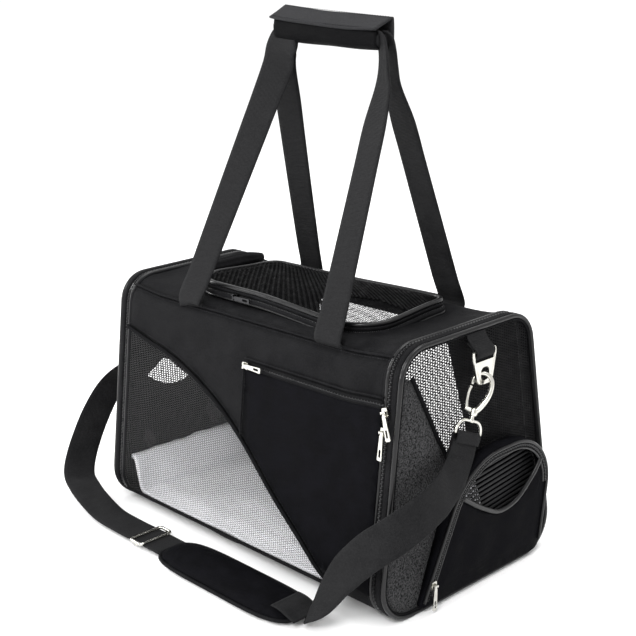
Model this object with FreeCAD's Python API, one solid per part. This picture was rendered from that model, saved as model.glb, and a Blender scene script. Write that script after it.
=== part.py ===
import FreeCAD, Part
import math
import os

# Soft-sided pet carrier bag. Millimetres, +Z up, +X towards the right-hand end door.
# The origin is on the floor under the middle of the bag, and -Y is the front with the pocket.

V = FreeCAD.Vector

# Driving dimensions of the bag
LENGTH = 450.0            # over the piping of the two end doors
BOTTOM_WIDTH = 270.0      # where the leaning sides would meet the floor
TOP_WIDTH = 190.0         # where they would meet the top
HEIGHT = 275.0
TOP_RADIUS = 35.0
BOTTOM_RADIUS = 40.0
TOP_DROP = 7.0            # the fabric top hangs this far below the stiff end rims
SEAM_HEIGHT = 259.0       # seam between the side panels and the top
FLOOR_HALF = 88.0         # half width of the flat floor panel
PANEL = 2.0               # foam-backed fabric
SKIN = 0.8                # the panels start this far inside the rims' outer face
SHELL_END = 207.5         # the side panels stop here, at the door zips
RIM_START = 214.0         # the door rims start here
PIPING_START = 221.5

# Handles
WEBBING = 38.0
HANDLE_FEET = (-100.0, 120.0)     # x of the two feet of each handle
HANDLE_FOOT_Y = 91.8
GRIP_X = (-37.0, 117.0)
GRIP_TOPS = (-34.0, 116.0)        # x of the legs where they gather under the grip's ends
GRIP_Z = 548.0
GRIP_TILT = 3.7                   # degrees, left end higher

# Top hatch
HATCH_X = (-125.0, 152.0)
HATCH_Y = (-72.0, 55.0)
HATCH_CORNER = 45.0
HATCH_BACK_CORNER = 20.0
CURB_Z = (268.3, 274.2)
HATCH_Z = (274.5, 283.0)

# Shoulder strap
STRAP = 38.0
STRAP_Y = -168.0
STRAP_Z = 5.3
STRAP_THICK = 1.6

SLOPE = (BOTTOM_WIDTH - TOP_WIDTH) / 2 / HEIGHT
STRETCH = math.hypot(1.0, SLOPE)
FACE_UP = V(0, SLOPE, 1).normalize()           # up along the leaning front
FACE_OUT = V(0, -1, SLOPE).normalize()         # out of the leaning front

PARTS = {}


def add(name, *shapes):
    """Files one sub-part: a single solid, or a group of separate ones."""
    PARTS[name] = shapes[0] if len(shapes) == 1 else Part.makeCompound(list(shapes))


# ---------------------------------------------------------------- basic shapes

def half_width(z):
    return BOTTOM_WIDTH / 2 - SLOPE * z


def rounded_loop(points, radii):
    """Closed planar wire through points, with each corner rounded by its radius."""
    count = len(points)
    if not isinstance(radii, (list, tuple)):
        radii = [radii] * count
    corners = []
    for i, (point, radius) in enumerate(zip(points, radii)):
        back = (points[i - 1] - point).normalize()
        ahead = (points[(i + 1) % count] - point).normalize()
        if radius <= 0:
            corners.append((point, point, point))
            continue
        half = back.getAngle(ahead) / 2
        reach = radius / math.tan(half)
        middle = (back + ahead).normalize()
        crown = point + middle * (radius / math.sin(half) - radius)
        corners.append((point + back * reach, crown, point + ahead * reach))
    edges = []
    for i, (start, crown, end) in enumerate(corners):
        if (start - end).Length > 1e-6:
            edges.append(Part.Arc(start, crown, end).toShape())
        following = corners[(i + 1) % count][0]
        if (following - end).Length > 1e-6:
            edges.append(Part.makeLine(end, following))
    return Part.Wire(edges)


def prism(points, radii, direction):
    return Part.Face(rounded_loop(points, radii)).extrude(direction)


def box(x, y, z):
    """Box from three (low, high) pairs."""
    return Part.makeBox(x[1] - x[0], y[1] - y[0], z[1] - z[0], V(x[0], y[0], z[0]))


def section_prism(inset, x0, x1, drop=0.0):
    """The bag's rounded trapezoid, made smaller all round by inset, from x0 to x1."""
    low, high = inset, HEIGHT - drop - inset
    wide = half_width(low) - inset * STRETCH
    narrow = half_width(high) - inset * STRETCH
    corners = [V(x0, -wide, low), V(x0, wide, low), V(x0, narrow, high), V(x0, -narrow, high)]
    radii = [BOTTOM_RADIUS - inset] * 2 + [TOP_RADIUS - inset] * 2
    return prism(corners, radii, V(x1 - x0, 0, 0))


def section_tube(outer, inner, x0, x1, drop=0.0):
    """Hollow length of that section between two insets."""
    return section_prism(outer, x0, x1, drop).cut(section_prism(inner, x0 - 1, x1 + 1, drop))


def along_y(outline, radii=0.0):
    """A cutter through the whole bag: an outline given as (x, z) points."""
    return prism([V(x, -200, z) for x, z in outline], radii, V(0, 400, 0))


def along_x(outline, x0, x1, radii=0.0):
    """A prism along X from an outline given as (y, z) points."""
    return prism([V(x0, y, z) for y, z in outline], radii, V(x1 - x0, 0, 0))


def along_z(outline, z0, z1, radii=0.0):
    """A prism along Z from an outline given as (x, y) points."""
    return prism([V(x, y, z0) for x, y in outline], radii, V(0, 0, z1 - z0))


def placed(shape, origin, first, second, third):
    """Moves a shape from its own x, y, z axes to the three given directions."""
    moved = shape.copy()
    moved.Placement = FreeCAD.Placement(origin, FreeCAD.Rotation(first, second, third, "XYZ"))
    return moved


def mirrored(shape):
    """The same piece at the left-hand end."""
    return shape.mirror(V(0, 0, 0), V(1, 0, 0))


def ribbon(stations, width, thick):
    """Flat webbing through stations of (centre, outward normal)."""
    wires = []
    last = len(stations) - 1
    for i, (centre, normal) in enumerate(stations):
        run = (stations[min(i + 1, last)][0] - stations[max(i - 1, 0)][0]).normalize()
        side = normal.cross(run).normalize() * (width / 2)
        out = run.cross(side).normalize() * (thick / 2)
        loop = [centre + side + out, centre - side + out, centre - side - out, centre + side - out]
        wires.append(Part.makePolygon(loop + loop[:1]))
    return Part.makeLoft(wires, True, True)


# ---------------------------------------------------------------- zip sliders

SLIDER_HEIGHT = 3.0
PIN_HEIGHT = 4.8
PIN_RADIUS = 0.6
PULL_LENGTH = 27.0


def slider_shapes():
    """Zip slider and its pull, lying in the pull's direction +x, with +z away from the zip."""
    body = along_z([(-4.5, -3.2), (4.5, -3.7), (4.5, 3.7), (-4.5, 3.2)], 0, SLIDER_HEIGHT, 1.2)
    for side in (-1, 1):
        ear = box((-1.2, 1.2), (-0.45, 0.45), (SLIDER_HEIGHT - 0.5, PIN_HEIGHT + 1.2))
        body = body.fuse(ear.translated(V(0, side * 2.45, 0)))
    pin = Part.makeCylinder(PIN_RADIUS, 5.0, V(0, -2.5, PIN_HEIGHT), V(0, 1, 0))
    body = body.fuse(pin).removeSplitter()
    eye = Part.makeCylinder(1.4, 3.4, V(0, -1.7, PIN_HEIGHT), V(0, 1, 0))
    neck = box((0.4, 3.0), (-1.5, 1.5), (PIN_HEIGHT - 0.55, PIN_HEIGHT + 0.55))
    tag = along_z([(2.4, -2.0), (2.4, 2.0), (PULL_LENGTH, 2.9), (PULL_LENGTH, -2.9)],
                  PIN_HEIGHT - 0.55, PIN_HEIGHT + 0.55, 1.2)
    slot = along_z([(16, -1.3), (16, 1.3), (24, 1.3), (24, -1.3)], 0, 10, 1.2)
    bore = Part.makeCylinder(PIN_RADIUS + 0.05, 6.0, V(0, -3, PIN_HEIGHT), V(0, 1, 0))
    pull = eye.fuse(neck).fuse(tag).cut(slot).cut(bore).removeSplitter()
    return body, pull


def add_slider(name, origin, lie, out, mirror=False):
    """Adds NAME and NAME_pull on a zip at origin, the pull lying along lie."""
    across = out.cross(lie)
    shapes = [placed(s, origin, lie, across, out) for s in slider_shapes()]
    if mirror:
        shapes = [mirrored(s) for s in shapes]
    add(name, shapes[0])
    add(name + "_pull", shapes[1])


def front_point(x, z, out=0.0):
    """A point on the leaning front, moved out of it by out."""
    return V(x, -half_width(z), z) + FACE_OUT * out


# ---------------------------------------------------------------- fabric shell

# The front mesh window's curved edge, from the left rim down to the floor
WINDOW_CURVE = [(-207.5, 213), (-121, 199), (-50, 172), (5, 138), (62, 91), (121, 47), (150, 30)]
WINDOW_SILL = 28.0
BACK_WINDOW = [(-130, 38), (130, 38), (104, 234), (-104, 234)]
POCKET_X = (5.0, 206.5)
POCKET_TOP = 213.5


def curve_edge(points, y):
    spline = Part.BSplineCurve()
    spline.interpolate([V(x, y, z) for x, z in points])
    return spline.toShape()


def under_curve():
    """Prism of the window's outline."""
    (x0, z0), (x1, z1) = WINDOW_CURVE[0], WINDOW_CURVE[-1]
    rim_top, foot = V(x0, -200, z0), V(x1, -200, z1)
    foot_low, rim_low = V(x1, -200, WINDOW_SILL), V(x0, -200, WINDOW_SILL)
    outline = [curve_edge(WINDOW_CURVE, -200), Part.makeLine(foot, foot_low),
               Part.makeLine(foot_low, rim_low), Part.makeLine(rim_low, rim_top)]
    return Part.Face(Part.Wire(outline)).extrude(V(0, 150, 0))


def side_band(outer, inner, side):
    """The leaning side and its bottom bend, on the front (-1) or the back (1)."""
    tube = section_tube(outer, inner, -SHELL_END, SHELL_END, TOP_DROP)
    edges = sorted((side * FLOOR_HALF, side * 160))
    return tube.common(box((-300, 300), edges, (-5, SEAM_HEIGHT)))


def make_shell():
    panel = side_band(SKIN, SKIN + PANEL, -1)
    add("front_panel", panel.cut(under_curve()))
    net = side_band(SKIN + 0.5, SKIN + 1.5, -1)
    net = net.common(under_curve().translated(V(-0.2, 0, -0.3)))
    add("front_window_mesh", net.common(box((-207, 200), (-200, 0), (WINDOW_SILL + 0.2, 230))))
    panel = side_band(SKIN, SKIN + PANEL, 1)
    add("back_panel", panel.cut(along_y(BACK_WINDOW, 24)))
    net = side_band(SKIN + 0.5, SKIN + 1.5, 1)
    inner = [(-129.7, 38.2), (129.7, 38.2), (105.7, 215.8), (-105.7, 215.8)]
    add("back_window_mesh", net.common(along_y(inner, 23.8)))
    add("floor_panel", box((-SHELL_END, SHELL_END), (-FLOOR_HALF + 0.2, FLOOR_HALF - 0.2),
                           (0, SKIN + PANEL)))
    tube = section_tube(SKIN, SKIN + PANEL, -SHELL_END, SHELL_END, TOP_DROP)
    top = tube.common(box((-300, 300), (-160, 160), (SEAM_HEIGHT + 0.2, 300)))
    add("top_panel", top.cut(hatch_outline(6.0, 200, 300)))


def make_inside():
    add("base_board", box((-200, 200), (-83, 83), (3.2, 6.4)))
    outer = section_prism(5.0, -203, 203).common(box((-300, 300), (-200, 200), (6.8, 62)))
    hollow = section_prism(20.0, -187, 187).common(box((-300, 300), (-200, 200), (24, 90)))
    low_front = box((-187, 187), (-200, -60), (27, 90))
    add("fleece_pad", outer.cut(hollow).cut(low_front))


def make_front_pocket():
    outline = [(POCKET_X[0], POCKET_TOP), (POCKET_X[0], 139), (62, 93), (121, 49), (149, 30),
               (POCKET_X[1], 30), (POCKET_X[1], POCKET_TOP)]
    pouch = section_tube(-1.2, 0.6, -SHELL_END, SHELL_END)
    pouch = pouch.common(box((-300, 300), (-160, -90), (30, 240)))
    add("front_pocket_panel", pouch.common(along_y(outline)))
    strip = [(POCKET_X[0], POCKET_TOP + 0.2), (POCKET_X[1], POCKET_TOP + 0.2),
             (POCKET_X[1], 220), (POCKET_X[0], 220)]
    add("front_pocket_zip", pouch.common(along_y(strip)))
    add_slider("front_pocket_slider", front_point(POCKET_X[0] + 5, 216.8, 1.5), V(1, 0, 0), FACE_OUT)


# ---------------------------------------------------------------- top hatch

def hatch_outline(inset, z0, z1):
    """More rounded at the two front corners; the back edge is the hinge."""
    x0, x1 = HATCH_X[0] + inset, HATCH_X[1] - inset
    y0, y1 = HATCH_Y[0] + inset, HATCH_Y[1] - inset
    corner = HATCH_CORNER - inset
    return along_z([(x0, y0), (x1, y0), (x1, y1), (x0, y1)], z0, z1,
                   [corner, corner, HATCH_BACK_CORNER - inset, HATCH_BACK_CORNER - inset])


def make_hatch():
    ring = hatch_outline(0, *CURB_Z).cut(hatch_outline(6, 200, 300))
    add("hatch_curb", ring)
    ring = hatch_outline(0, *HATCH_Z).cut(hatch_outline(7, 200, 300))
    add("hatch_rim", ring)
    add("hatch_mesh", hatch_outline(7.1, 280, 281.2))
    add_slider("hatch_slider", V(-42, HATCH_Y[0] - 0.3, 275.0), V(1, 0, 0), V(0, -1, 0))
    roll_x, roll_z, roll_r = HATCH_X[0] - 15.5, 281.6, 13.0
    add("rolled_cover", Part.makeCylinder(roll_r, 106, V(roll_x, -56, roll_z), V(0, 1, 0)))


# ---------------------------------------------------------------- end doors

TAB_Y = 8.0                                         # middle of the webbing tab and its ring
HOOK_TOP = V(234.5, 4.3, 221.7)                     # middle of the hook's bend
HOOK_UP = V(0, 0.41, 0.912).normalize()             # the strap pulls the hook this way
HOOK_LEVEL = V(0, HOOK_UP.z, -HOOK_UP.y)            # level line of the strap ring
HOOK_TURN = 48.0                                    # turned so that it threads its ring
GATE_PIN = (-8.0, -27.0)                            # across and along the hook
# The end pockets' D outlines, clockwise from the foot of the zip as (y, z)
D_CORNERS = {"right": [(-81, 7), (-22, 147), (117, 147), (104, 7)],
             "left": [(-81, 7), (-12, 128), (117, 128), (104, 7)]}
D_RADII = [3, 75, 62, 10]
POCKET_FOOT = (229.0, 13.0)                         # x and z where the pocket's front starts
POCKET_LEAN = 9.5 / 133.0                           # it leans out as it rises
POCKET_PANEL = 1.6
DOOR_PIECES = ("rim", "end_mesh", "end_panel", "pocket_zip", "pocket_panel", "strap_tab",
               "tab_ring", "snap_hook", "hook_gate", "strap_ring")


def shrink(corners, inset):
    """Clockwise corners of the same outline with every side moved inwards."""
    count = len(corners)
    sides = []
    for i, (y0, z0) in enumerate(corners):
        y1, z1 = corners[(i + 1) % count]
        length = math.hypot(y1 - y0, z1 - z0)
        across, up = (z1 - z0) / length, (y0 - y1) / length
        sides.append((across, up, across * y0 + up * z0 + inset))
    moved = []
    for i in range(count):
        a, b, c = sides[i - 1]
        d, e, f = sides[i]
        size = a * e - b * d
        moved.append(((c * e - b * f) / size, (a * f - c * d) / size))
    return moved


def d_prism(word, inset, x0, x1):
    """An end pocket's D outline made smaller by inset, from x0 to x1."""
    radii = [max(r - inset, 1) for r in D_RADII]
    return along_x(shrink(D_CORNERS[word], inset), x0, x1, radii)


def pocket_face(z):
    """x of the back of the pocket's slanted front panel."""
    return POCKET_FOOT[0] + POCKET_LEAN * (z - POCKET_FOOT[1])


def pocket_wedge(near, far):
    """Prism along Y between the pocket's slanted front face moved by near and by far."""
    low, high = 5.0, 155.0
    outline = [(pocket_face(low) + near, low), (pocket_face(high) + near, high),
               (pocket_face(high) + far, high), (pocket_face(low) + far, low)]
    return along_y(outline)


def make_door(word, scallop):
    """One end door: the closed rim, the mesh and the slip pocket over it."""
    shapes = {}
    band = section_tube(0, 2.5, RIM_START, PIPING_START)
    piping = section_tube(0, 3.4, PIPING_START, LENGTH / 2)
    shapes["rim"] = band.fuse(piping).removeSplitter()
    shapes["end_mesh"] = section_prism(2.7, 220.2, 221.2)
    gusset = d_prism(word, 0, 222.8, 250).cut(d_prism(word, 8, 220, 255))
    shapes["pocket_zip"] = gusset.common(pocket_wedge(-30, -0.3))
    panel = d_prism(word, 0.5, 222.8, 250).common(pocket_wedge(0, POCKET_PANEL))
    outline, radii = scallop
    shapes["pocket_panel"] = panel.cut(along_x(outline, 220, 255, radii))
    return shapes


def make_hardware():
    """The webbing tab, its ring, the swivel snap hook and the strap's half ring."""
    x, y = HOOK_TOP.x, TAB_Y
    tab = box((x - 4, x + 4), (y - 13.5, y + 13.5), (247, 264))
    tab = tab.fuse(box((222.8, x + 4), (y - 15, y + 15), (261, 270.5)))
    tab = tab.cut(box((x - 2.5, x + 2.5), (y - 20, y + 20), (248.5, 256)))
    half = [(17, 255.2), (17, 247.5), (10.5, 219.5)]
    outline = [(y + a, z) for a, z in half] + [(y - a, z) for a, z in reversed(half)]
    plate = along_x(outline, x - 1.25, x + 1.25, [3, 3, 8, 8, 3, 3])
    plate = plate.cut(box((x - 9, x + 9), (y - 14.2, y + 14.2), (243.5, 250.5)))
    eye = [(y - 6.2, 223.5), (y + 6.2, 223.5), (y + 6.2, 237), (y - 6.2, 237)]
    plate = plate.cut(along_x(eye, x - 9, x + 9, 5))

    hook = box((7, 11), (-26, 0), (-2, 2)).fuse(box((-11, -7), (-6, 0), (-2, 2)))
    arch = Part.makeCylinder(11, 4, V(0, 0, -2)).cut(Part.makeCylinder(7, 4, V(0, 0, -2)))
    hook = hook.fuse(arch.common(box((-20, 20), (0, 20), (-5, 5))))
    base = along_z([(-11, -25.5), (11, -25.5), (6, -33), (-6, -33)], -2.5, 2.5)
    hook = hook.fuse(base).fuse(Part.makeCylinder(4, 9, V(0, -33.5, 0), V(0, 1, 0)))
    hook = hook.cut(box((-12, -4.5), (-29.4, -25), (-1.6, 1.6)))
    hook = hook.fuse(Part.makeCylinder(1.0, 5.0, V(*GATE_PIN, -2.5)))
    hook = hook.cut(Part.makeCylinder(2.05, 8, V(0, -34, 0), V(0, 1, 0))).removeSplitter()
    gate = box((-9.2, -6.6), (-27.6, -6.4), (-1.4, 1.4))
    gate = gate.fuse(Part.makeCylinder(1.6, 2.8, V(*GATE_PIN, -1.4)))
    gate = gate.cut(Part.makeCylinder(1.05, 4, V(*GATE_PIN, -2))).removeSplitter()

    d_loop = [(-22, -54.5), (22, -54.5), (19, -37.2), (-19, -37.2)]
    inner = [(-19, -51.5), (19, -51.5), (16.2, -40.2), (-16.2, -40.2)]
    half_ring = along_z(d_loop, -1.5, 1.5, [3, 3, 12, 12]).cut(along_z(inner, -4, 4, [1, 1, 9, 9]))
    half_ring = half_ring.fuse(Part.makeCylinder(3.5, 3.0, V(0, -38.5, 0), V(0, 1, 0)))
    half_ring = half_ring.fuse(Part.makeCylinder(2.0, 9.0, V(0, -36.5, 0), V(0, 1, 0)))
    half_ring = half_ring.removeSplitter()

    turned = FreeCAD.Rotation(HOOK_UP, -HOOK_TURN)
    level, facing = turned.multVec(HOOK_LEVEL), turned.multVec(V(1, 0, 0))
    frame = (HOOK_TOP, level, HOOK_UP, facing)
    return {"strap_tab": tab, "tab_ring": plate,
            "snap_hook": placed(hook, *frame), "hook_gate": placed(gate, *frame),
            "strap_ring": placed(half_ring, HOOK_TOP, HOOK_LEVEL, HOOK_UP, V(1, 0, 0))}


RIGHT_SCALLOP = ([(-26, 112), (22, 74), (66, 78), (98, 120), (90, 200), (-40, 200)],
                 [3, 26, 26, 3, 1, 1])
LEFT_SCALLOP = ([(-22, 98), (22, 62), (66, 66), (98, 106), (90, 200), (-40, 200)],
                [3, 26, 26, 3, 1, 1])
CORNER_PANEL = [(-140, 270), (-79, 272), (-63, 208), (-48, 177), (-30, 142), (-34, 100),
                (-60, 0), (-140, 0)]
# A leaf-shaped vent in the fabric of the left end, above its pocket
LEFT_VENT = [(-75, 144), (-58, 155), (-42, 162), (-24, 145), (-8, 127), (-26, 122), (-44, 124), (-60, 132)]


def make_ends():
    add("right_door_zip", section_tube(0.4, 2.8, 208, 213.6))
    add("left_door_zip", mirrored(section_tube(0.4, 2.8, 208, 213.6)))
    right = make_door("right", RIGHT_SCALLOP)
    left = make_door("left", LEFT_SCALLOP)
    inside_piping = section_prism(3.6, 221.5, 222.5)
    right["end_panel"] = inside_piping.common(along_x(CORNER_PANEL, 221, 223))
    left["end_panel"] = inside_piping.cut(along_x(LEFT_VENT, 221, 223))
    hardware = make_hardware()
    right.update(hardware)
    left.update(hardware)
    for piece in DOOR_PIECES:
        add("right_" + piece, right[piece])
        add("left_" + piece, mirrored(left[piece]))
    splay = FreeCAD.Rotation(FACE_OUT, 20).multVec(FACE_UP * -1)
    add_slider("right_upper_slider", front_point(210.8, 215, 0.3), splay, FACE_OUT)
    add_slider("right_lower_slider", front_point(210.8, 196, 0.3), FACE_UP * -1, FACE_OUT)
    back_out = V(0, -FACE_OUT.y, FACE_OUT.z)
    back_down = V(0, FACE_UP.y, -FACE_UP.z)
    origin = V(210.8, half_width(190), 190) + back_out * 0.3
    add_slider("left_door_slider", origin, back_down, back_out, mirror=True)
    face = V(1, 0, -POCKET_LEAN).normalize()
    down = V(-POCKET_LEAN, 0, -1).normalize()
    spot = V(pocket_face(30) + POCKET_PANEL, -67, 30) + face * 0.3
    add_slider("right_pocket_slider", spot, down, face)
    add_slider("left_pocket_slider", spot, down, face, mirror=True)


# ---------------------------------------------------------------- handles

def leg(foot_x, top_x, top_z, side):
    foot = V(foot_x, side * HANDLE_FOOT_Y, SEAM_HEIGHT + 5)
    top = V(top_x, side * 9.0, top_z)
    out = V(0, side, 0.25)
    return ribbon([(foot, out), (top, out)], WEBBING, 2.4)


def gathered_webbing(side):
    """The handle's webbing, folded narrow through the grip and turned down outside both its ends."""
    depth = sorted((side * 1.0, side * 9.4))
    reach = 15.0
    bar = box((GRIP_X[0] - reach, GRIP_X[1] + reach), depth, (GRIP_Z - 6, GRIP_Z + 6))
    for x in (GRIP_X[0] - reach, GRIP_X[1] + 2):
        bar = bar.fuse(box((x, x + reach - 2), depth, (GRIP_Z - 34, GRIP_Z)))
    return bar.removeSplitter()


def make_handles():
    centre = V((GRIP_X[0] + GRIP_X[1]) / 2, 0, GRIP_Z)
    for side, name in ((-1, "front"), (1, "back")):
        legs = []
        for foot_x, top_x in zip(HANDLE_FEET, GRIP_TOPS):
            drop = math.tan(math.radians(GRIP_TILT)) * (top_x - centre.x)
            legs.append(leg(foot_x, top_x, GRIP_Z - 19 - drop, side))
        bar = gathered_webbing(side)
        bar.rotate(centre, V(0, 1, 0), GRIP_TILT)
        add(name + "_handle_webbing", bar.fuse(legs[0]).fuse(legs[1]))
    wrap = [(-12.6, 556), (-12.6, 539), (9.4, 539), (9.4, 541), (-10.6, 541), (-10.6, 556)]
    lid = [(-13, 557.5), (-13, 559.5), (12.6, 567.5), (12.6, 540), (10.6, 540), (10.6, 564.8)]
    for outline, name in ((wrap, "grip_wrap"), (lid, "grip_lid")):
        shape = along_x(outline, GRIP_X[0], GRIP_X[1])
        shape.rotate(centre, V(0, 1, 0), GRIP_TILT)
        add(name, shape)


# ---------------------------------------------------------------- shoulder strap

# Centre line and outward normal of the webbing, from the half ring to the floor
RIGHT_RUN = [((234.5, -20.5, 166.4), (1, 0, 0)),
             ((234.5, -23.2, 160.4), (1, 0, 0)), ((238, -38, 140), (0.97, -0.2, 0.1)),
             ((249, -72, 130), (0.87, -0.45, 0.1)), ((252, -104, 122), (0.8, -0.6, 0.1)),
             ((241, -131, 107), (0.45, -0.85, 0.15)), ((221, -144, 89), (0.2, -0.95, 0.2)),
             ((198, -155, 62), (0.1, -0.9, 0.4)), ((178, -163, 30), (0.1, -0.7, 0.7)),
             ((165, -168, 7.5), (0.1, -0.2, 0.97))]
LEFT_RUN = [((-234.5, -20.5, 166.4), (-1, 0, 0)), ((-237.5, -24.5, 160), (-0.95, 0, 0.25)),
            ((-247, -34, 155), (-0.7, -0.1, 0.65)), ((-262, -49, 150), (-0.7, -0.15, 0.65)),
            ((-276, -66, 139), (-0.8, 0, 0.55)), ((-286, -84, 118), (-0.93, 0.2, 0.3)),
            ((-292, -102, 90), (-0.93, 0.25, 0.1)), ((-296, -117, 60), (-0.9, 0.2, -0.15)),
            ((-293, -131, 36), (-0.75, 0.1, -0.5)), ((-280, -143, 22), (-0.5, 0.1, -0.8)),
            ((-256, -152, 16), (-0.25, 0.05, -0.95)), ((-222, -161, 12), (-0.1, 0, -1)),
            ((-182, -167, 6.5), (0, 0, -1)), ((-155, -168, 5.3), (0, 0, -1)),
            ((-144.5, -168, 5.3), (0, 0, -1))]


def strap_loop(mirror):
    """The sewn end of the webbing, folded round the half ring's bar."""
    half = STRAP / 2
    loop = box((-half, half), (-60, -50.5), (-4.2, 4.2))
    loop = loop.fuse(box((-16, 16), (-50.6, -48.5), (-4.2, 4.2)))
    loop = loop.cut(box((-25, 25), (-55.5, -50.5), (-2.4, 2.4))).removeSplitter()
    shape = placed(loop, HOOK_TOP, HOOK_LEVEL, HOOK_UP, V(1, 0, 0))
    return mirrored(shape) if mirror else shape


def make_strap():
    for name, run, mirror in (("right", RIGHT_RUN, False), ("left", LEFT_RUN, True)):
        stations = [(V(*centre), V(*normal)) for centre, normal in run]
        add("shoulder_strap_" + name, ribbon(stations, STRAP, STRAP_THICK), strap_loop(mirror))
    half, low, high = STRAP / 2, STRAP_Z - STRAP_THICK / 2, STRAP_Z + STRAP_THICK / 2
    add("shoulder_strap_middle",
        box((-143.5, 163), (STRAP_Y - half, STRAP_Y + half), (low, high)))
    edge = [(-58, -20), (-22, -32), (122, -32), (152, -17)]
    outline = edge + [(x, -y) for x, y in reversed(edge)]
    pad = along_z([(x, STRAP_Y + y) for x, y in outline], 0.6, 11.6, 9)
    reach = half + 0.6
    channel = box((-100, 200), (STRAP_Y - reach, STRAP_Y + reach), (low - 0.5, high + 0.5))
    add("shoulder_pad", pad.cut(channel))
    rail = box((-110, -86), (20.2, 23.0), (1.2, 9.0))
    frame = rail.fuse(rail.mirror(V(0, 0, 0), V(0, 1, 0)))
    for x0, z0 in ((-110, 6.8), (-88.5, 6.8), (-99.2, 1.2)):
        frame = frame.fuse(box((x0, x0 + 2.5), (-21, 21), (z0, z0 + 2.2)))
    add("strap_adjuster", frame.removeSplitter().translated(V(0, STRAP_Y, 0)))


def main():
    make_shell()
    make_inside()
    make_front_pocket()
    make_hatch()
    make_ends()
    make_handles()
    make_strap()
    os.makedirs("parts", exist_ok=True)
    for name, shape in PARTS.items():
        if not shape.isValid() or not shape.Solids:
            print("not a valid solid:", name)
        shape.exportStep("parts/%s.step" % name)
    print(len(PARTS), "sub-parts written")


main()
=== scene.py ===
"""Looks of a soft-sided pet carrier bag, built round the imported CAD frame.

Shapes are worked out in millimetres and turned into metres as each mesh is made. +X points to the
right-hand end door, -Y is the front with the pocket, and the bag stands on z = 0.
"""
import math

import bpy
import numpy as np
from mathutils import Matrix, Vector
from mathutils.geometry import delaunay_2d_cdt


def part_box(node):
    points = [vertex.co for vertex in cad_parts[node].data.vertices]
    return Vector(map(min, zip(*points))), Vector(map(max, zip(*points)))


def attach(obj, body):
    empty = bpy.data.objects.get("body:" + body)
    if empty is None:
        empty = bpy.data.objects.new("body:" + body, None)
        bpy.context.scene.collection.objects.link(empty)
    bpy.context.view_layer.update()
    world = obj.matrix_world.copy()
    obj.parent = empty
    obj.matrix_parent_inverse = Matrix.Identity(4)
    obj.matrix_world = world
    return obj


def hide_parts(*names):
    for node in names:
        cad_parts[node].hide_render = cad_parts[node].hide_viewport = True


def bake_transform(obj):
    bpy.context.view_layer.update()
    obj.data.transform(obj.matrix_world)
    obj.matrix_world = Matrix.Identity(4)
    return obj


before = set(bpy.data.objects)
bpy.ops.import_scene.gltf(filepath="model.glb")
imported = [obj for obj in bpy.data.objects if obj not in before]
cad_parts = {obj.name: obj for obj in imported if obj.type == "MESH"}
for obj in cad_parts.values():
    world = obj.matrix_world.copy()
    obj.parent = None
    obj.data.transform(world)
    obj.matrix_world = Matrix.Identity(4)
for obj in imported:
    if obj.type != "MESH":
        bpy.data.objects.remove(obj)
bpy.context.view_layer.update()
MM = 0.001


def node_box(name):
    """Lowest and highest corner of a CAD node, in millimetres."""
    low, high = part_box(name)
    return np.array(low) / MM, np.array(high) / MM


# ------------------------------------------------------------------ sizes, from the frame

RIM_LOW, RIM_HIGH = node_box("right_rim")
LENGTH_HALF = RIM_HIGH[0]                     # to the outside of the end piping
HEIGHT = RIM_HIGH[2]
BOTTOM_HALF = 135.0                           # half width where the sides would meet the floor
SLOPE = 40.0 / HEIGHT                         # the front and back lean in by this
STRETCH = math.hypot(1.0, SLOPE)
TOP_RADIUS, BOTTOM_RADIUS = 35.0, 40.0
TOP_DROP = HEIGHT - node_box("top_panel")[1][2] - 0.8
SHELL_END = node_box("front_panel")[1][0]     # the side panels stop at the door zips
RIM_START = RIM_LOW[0]
SEAM_Z = node_box("front_panel")[1][2]        # seam between the sides and the top
SILL_Z = 18.0                                 # lower edge of the front window
DOOR_ZIP_X = 210.8
NET_X, COVER_X, TRIM_X = 221.2, 222.2, 222.9  # layers of a door, from the inside out
HARDWARE_X = 234.5                            # plane in which the strap's hardware hangs
HATCH_NET_Z = 281.2
WEBBING = 38.0
UP = np.array([0.0, 0.0, 1.0])


def half_width(z):
    return BOTTOM_HALF - SLOPE * z


# ------------------------------------------------------------------ curves

def round_corners(points, radii, closed=True, steps=10):
    """Polyline through 2-D points with each corner rounded by its radius."""
    points = [np.array(p, float) for p in points]
    count = len(points)
    line = []
    for i, (point, radius) in enumerate(zip(points, radii)):
        if radius <= 0 or (not closed and i in (0, count - 1)):
            line.append(point)
            continue
        back = points[i - 1] - point
        ahead = points[(i + 1) % count] - point
        back, ahead = back / np.linalg.norm(back), ahead / np.linalg.norm(ahead)
        half = math.acos(np.clip(back @ ahead, -1, 1)) / 2
        middle = (back + ahead) / np.linalg.norm(back + ahead)
        centre = point + middle * radius / math.sin(half)
        start = point + back * radius / math.tan(half) - centre
        end = point + ahead * radius / math.tan(half) - centre
        turn = math.atan2(start[0] * end[1] - start[1] * end[0], start @ end)
        for k in range(steps + 1):
            a = turn * k / steps
            line.append(centre + np.array([start[0] * math.cos(a) - start[1] * math.sin(a),
                                           start[0] * math.sin(a) + start[1] * math.cos(a)]))
    return np.array(line)


def resample(points, step, closed=False):
    """The same polyline with its points evenly spaced, about step apart."""
    points = np.array(points, float)
    if closed:
        points = np.vstack([points, points[:1]])
    lengths = np.concatenate([[0], np.cumsum(np.linalg.norm(np.diff(points, axis=0), axis=1))])
    count = max(2, int(round(lengths[-1] / step)) + 1)
    wanted = np.linspace(0, lengths[-1], count)
    even = np.stack([np.interp(wanted, lengths, points[:, k]) for k in range(points.shape[1])], 1)
    return even[:-1] if closed else even


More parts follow.
